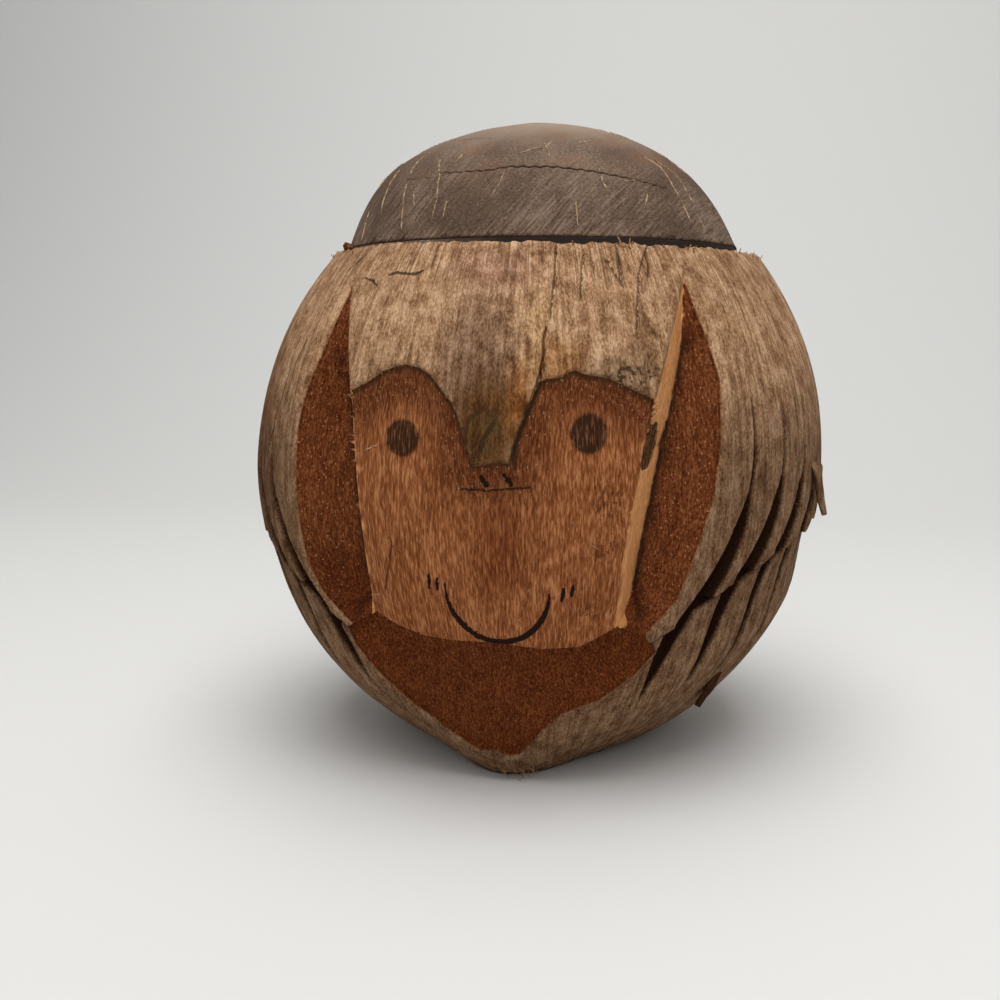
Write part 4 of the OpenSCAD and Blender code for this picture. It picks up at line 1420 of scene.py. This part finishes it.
# %% Strands and their finishes
def strands(name, spots, lies, lengths, thick, bend, finish):
    """Strands of one finish as a plain mesh: where each starts, which way it lies and how long it is."""
    across = np.full(len(spots), thick)
    size = np.stack([across, across, lengths], axis=-1) * MM
    points = new_piece(name + "_points", spots, np.zeros((0, 3)), {"lie": lies, "size": size})
    tree, bend_socket = strand_tree(finish)
    modifier = points.modifiers.new("strands", "NODES")
    modifier.node_group = tree
    modifier[bend_socket] = bend
    bpy.context.view_layer.update()
    ready = points.evaluated_get(bpy.context.evaluated_depsgraph_get())
    mesh = bpy.data.meshes.new_from_object(ready)
    mesh.name = name
    mesh.polygons.foreach_set("use_smooth", np.full(len(mesh.polygons), True))
    bpy.data.objects.remove(points)
    piece = bpy.data.objects.new(name, mesh)
    bpy.context.scene.collection.objects.link(piece)
    return piece


def strand_finish(name, dark, pale):
    """Dry fibre: paler and darker along its length."""
    f = Finish(name)
    place, _ = f.spot()
    tone = f.clouds(place, 1.5, 2)
    return f.close(f.mix(f.step(0.35, 0.65, tone), dark, pale), 0.75, tone, 0.05)


husk_strand = strand_finish("loose_fibre", (0.22, 0.1, 0.042), (0.46, 0.27, 0.14))
scar_strand = strand_finish("shell_scar", (0.2, 0.125, 0.07), (0.46, 0.32, 0.2))
print("strand finishes:", husk_strand.name, scar_strand.name)

# %% Fibres on the husk
FACE_FIBRES = ((26.2, 68.8, 28.9, 67.2), (28.9, 67.2, 29.1, 64.5), (-26.1, 54.6, -20.8, 55.6),
               (-29.7, 90.5, -27.1, 91.6))
TUFTS = ((90, (-180, 180), (138.6, 140.2), -0.4, (0.3, 0.5, 1.4), (0.6, 1.5)),
         (9, (25, 31), (138.8, 140), -0.5, (0.4, 0.6, 1.4), (1.0, 2.6)),
         (26, (-3, 9), (0.8, 3.5), -0.6, (1, -0.15, 0.9), (1.5, 4.5)))
FIBRE_SEED, FIBRE_THICK, FIBRE_BEND = 21, 0.11, 4.0


def face_spot(x, z):
    """A place just off the carved front, seen from the front."""
    front = fibre_place[(run > 1) & (run < 2) & (fibre_place[:, 1] < -40)]
    near = front[np.argmin(np.hypot(front[:, 0] - x, front[:, 2] - z))]
    return np.array([x, near[1] - 0.3, z])


def husk_strands(seed):
    """Starting places, directions and lengths of the fibres that stand out of the husk."""
    draw = np.random.default_rng(seed)
    spots, lies, lengths = [], [], []

    def tuft(count, turns, heights, lift, way, length):
        """Draws fibres in a span of turns and heights, their way given as out, up and round."""
        for _ in range(count):
            turn, height = draw.uniform(*turns), draw.uniform(*heights)
            out = turned_out(turn)
            round_way = np.array([out[1], -out[0], 0])
            spots.append(rind_spot(turn, height, lift))
            lies.append(way[0] * out + way[1] * UP + draw.uniform(-1, 1) * way[2] * round_way)
            lengths.append(draw.uniform(*length))

    for place in TUFTS:
        tuft(*place)
    for x0, z0, x1, z1 in FACE_FIBRES:
        spots.append(face_spot(x0, z0))
        lies.append(face_spot(x1, z1) - spots[-1])
        lengths.append(np.linalg.norm(lies[-1]))
    return np.array(spots), np.array(lies), np.array(lengths)


frayed = strands("frayed_fibres", *husk_strands(FIBRE_SEED), FIBRE_THICK, FIBRE_BEND, husk_strand)
hand_over(frayed, "head", "fibre")
print("frayed fibres:", len(frayed.data.polygons), "faces")

# %% Scars on the lid
LID_SCARS = (
    ((-30.8, 40.5), (-24.9, 47.8), (-22.6, 54.1), (-22.3, 58.9)),
    ((-38.6, 48.9), (-35.3, 55.6), (-32.8, 61.3)),
    ((-52.8, 43.3), (-49.7, 49.1), (-46.3, 56.4)), ((-42.4, 36.8), (-43.9, 40.1), (-40.9, 45.2)),
    ((-2.6, 45.8), (-3.4, 50.4), (-5.2, 53.8)), ((9.5, 36.3), (11, 38.9), (11.4, 42.4)),
    ((12.3, 35.7), (10.6, 37.7)),
    ((1.6, 40.6), (5.4, 38.9), (8.5, 38.7)), ((27.5, 46.1), (27.1, 49.9), (27.9, 52.9)),
    ((18, 56), (18.1, 59.1), (18.1, 62)), ((50.6, 38.4), (55.5, 42.9), (54.6, 49.8), (54.8, 59)),
    ((56.3, 40.1), (62, 44.3), (60.6, 53.7)), ((23.8, 35.4), (29.6, 33.6)), ((-18.8, 55.2), (-18.9, 59.1)),
    ((60, 57), (60.7, 60.9)), ((-33.1, 51.6), (-30.7, 55.2)), ((-20.4, 39.8), (-21.3, 42.6)),
    ((41.3, 52.6), (39.3, 55.6)), ((34.2, 49.4), (38.9, 48.9)), ((-56.6, 55.4), (-53.5, 62.9)))
SCAR_STEP = 1.2
SCAR_SEED, SCAR_THICK, SCAR_BEND = 8, 0.33, 0.25
SCAR_OVERLAP = (1.0, 1.35)
TURN_SHARE = 0.7
STRAY_SCARS = 40
STRAY_TURNS, STRAY_POLARS = (70, 300), (12, 56)
STRAY_DRIFT, STRAY_DROP = (-4, 4), (3, 9)


def scar_strands(seed):
    """Short strands laid end to end along the lid's scars, and stray ones round the back."""
    draw = np.random.default_rng(seed)
    paths = list(LID_SCARS)
    for _ in range(STRAY_SCARS):
        turn, polar = draw.uniform(*STRAY_TURNS), draw.uniform(*STRAY_POLARS)
        paths.append(((turn, polar), (turn + draw.uniform(*STRAY_DRIFT), polar + draw.uniform(*STRAY_DROP))))
    starts, ends = [], []
    for path in paths:
        legs = np.hypot(*(np.diff(np.array(path), axis=0) * (TURN_SHARE, 1)).T)
        count = int(np.ceil(legs.sum() * np.radians(NUT_R) / SCAR_STEP))
        t = np.append(0, np.cumsum(legs)) / legs.sum()
        even = np.linspace(0, 1, count + 1)
        way = np.stack([np.interp(even, t, column) for column in np.array(path).T], axis=-1)
        starts.append(way[:-1])
        ends.append(way[1:])
    starts, ends = (np.radians(np.concatenate(part)) for part in (starts, ends))
    spots, ends = (lid_surface((part[:, 0] + np.pi) % (2 * np.pi) - np.pi, part[:, 1] / LID_POLAR)[0]
                   for part in (starts, ends))
    lies = ends - spots
    return spots, lies, np.linalg.norm(lies, axis=1) * draw.uniform(*SCAR_OVERLAP, len(lies))


scars = strands("lid_scars", *scar_strands(SCAR_SEED), SCAR_THICK, SCAR_BEND, scar_strand)
hand_over(scars, "lid", "shell")
print("lid scars:", len(scars.data.polygons), "faces")

# %% [markdown]
# ## Light, floor and backdrop
#
# The cup stands on a pale sweep under a broad soft light from above and a little
# to the right, with a weaker one in front and one for the backdrop. A sweep is a
# floor that curves up behind the object, so no horizon line shows. The lamps are
# large, which keeps the shadows soft.

# %% Stage
FLOOR_COLOUR = (0.74, 0.735, 0.715, 1)
FLOOR_FRONT, FLOOR_BACK, FLOOR_HALF = -2500.0, 420.0, 3000.0
SWEEP_R, SWEEP_STEPS, WALL_TOP = 650.0, 60, 2500.0
CUP_MIDDLE = (0, 0, 80)
ROOM_COLOUR, ROOM_LIGHT = (0.97, 0.98, 1.0, 1), 0.25


def sweep():
    """A floor that curves up into a wall behind the cup."""
    arc = np.radians(np.linspace(0, 90, SWEEP_STEPS))
    rise = [(FLOOR_BACK + SWEEP_R * np.sin(a), SWEEP_R * (1 - np.cos(a))) for a in arc]
    path = [(FLOOR_FRONT, 0.0), *rise, (FLOOR_BACK + SWEEP_R, WALL_TOP)]
    places = [(x, y, z) for y, z in path for x in (-FLOOR_HALF, FLOOR_HALF)]
    faces = [(2 * i, 2 * i + 1, 2 * i + 3, 2 * i + 2) for i in range(len(path) - 1)]
    piece = new_piece("sweep", places, faces)
    paper = Finish("pale_sweep")
    paper.feed(paper.surface, {"Base Color": FLOOR_COLOUR, "Roughness": 0.85})
    piece.data.materials.append(paper.material)
    return piece


def soft_lamp(name, spot, aim, size, watts):
    """A square lamp at a spot in millimetres, turned towards another."""
    data = bpy.data.lights.new(name, "AREA")
    data.size = size * MM
    data.energy = watts
    lamp = bpy.data.objects.new(name, data)
    lamp.location = Vector(spot) * MM
    lamp.rotation_euler = (Vector(aim) - Vector(spot)).to_track_quat("-Z", "Y").to_euler()
    bpy.context.scene.collection.objects.link(lamp)
    return lamp


sweep()
soft_lamp("overhead", (60, -330, 1000), CUP_MIDDLE, size=800, watts=8.2)
soft_lamp("front", (120, -1000, 550), CUP_MIDDLE, size=700, watts=2.2)
soft_lamp("backdrop", (0, 350, 1300), (0, 1000, 350), size=900, watts=4.6)
world = bpy.data.worlds.new("room")
world.use_nodes = True
background = world.node_tree.nodes["Background"]
Web(world.node_tree).feed(background, {"Color": ROOM_COLOUR, "Strength": ROOM_LIGHT})
bpy.context.scene.world = world
bpy.context.scene.view_settings.view_transform = "Standard"
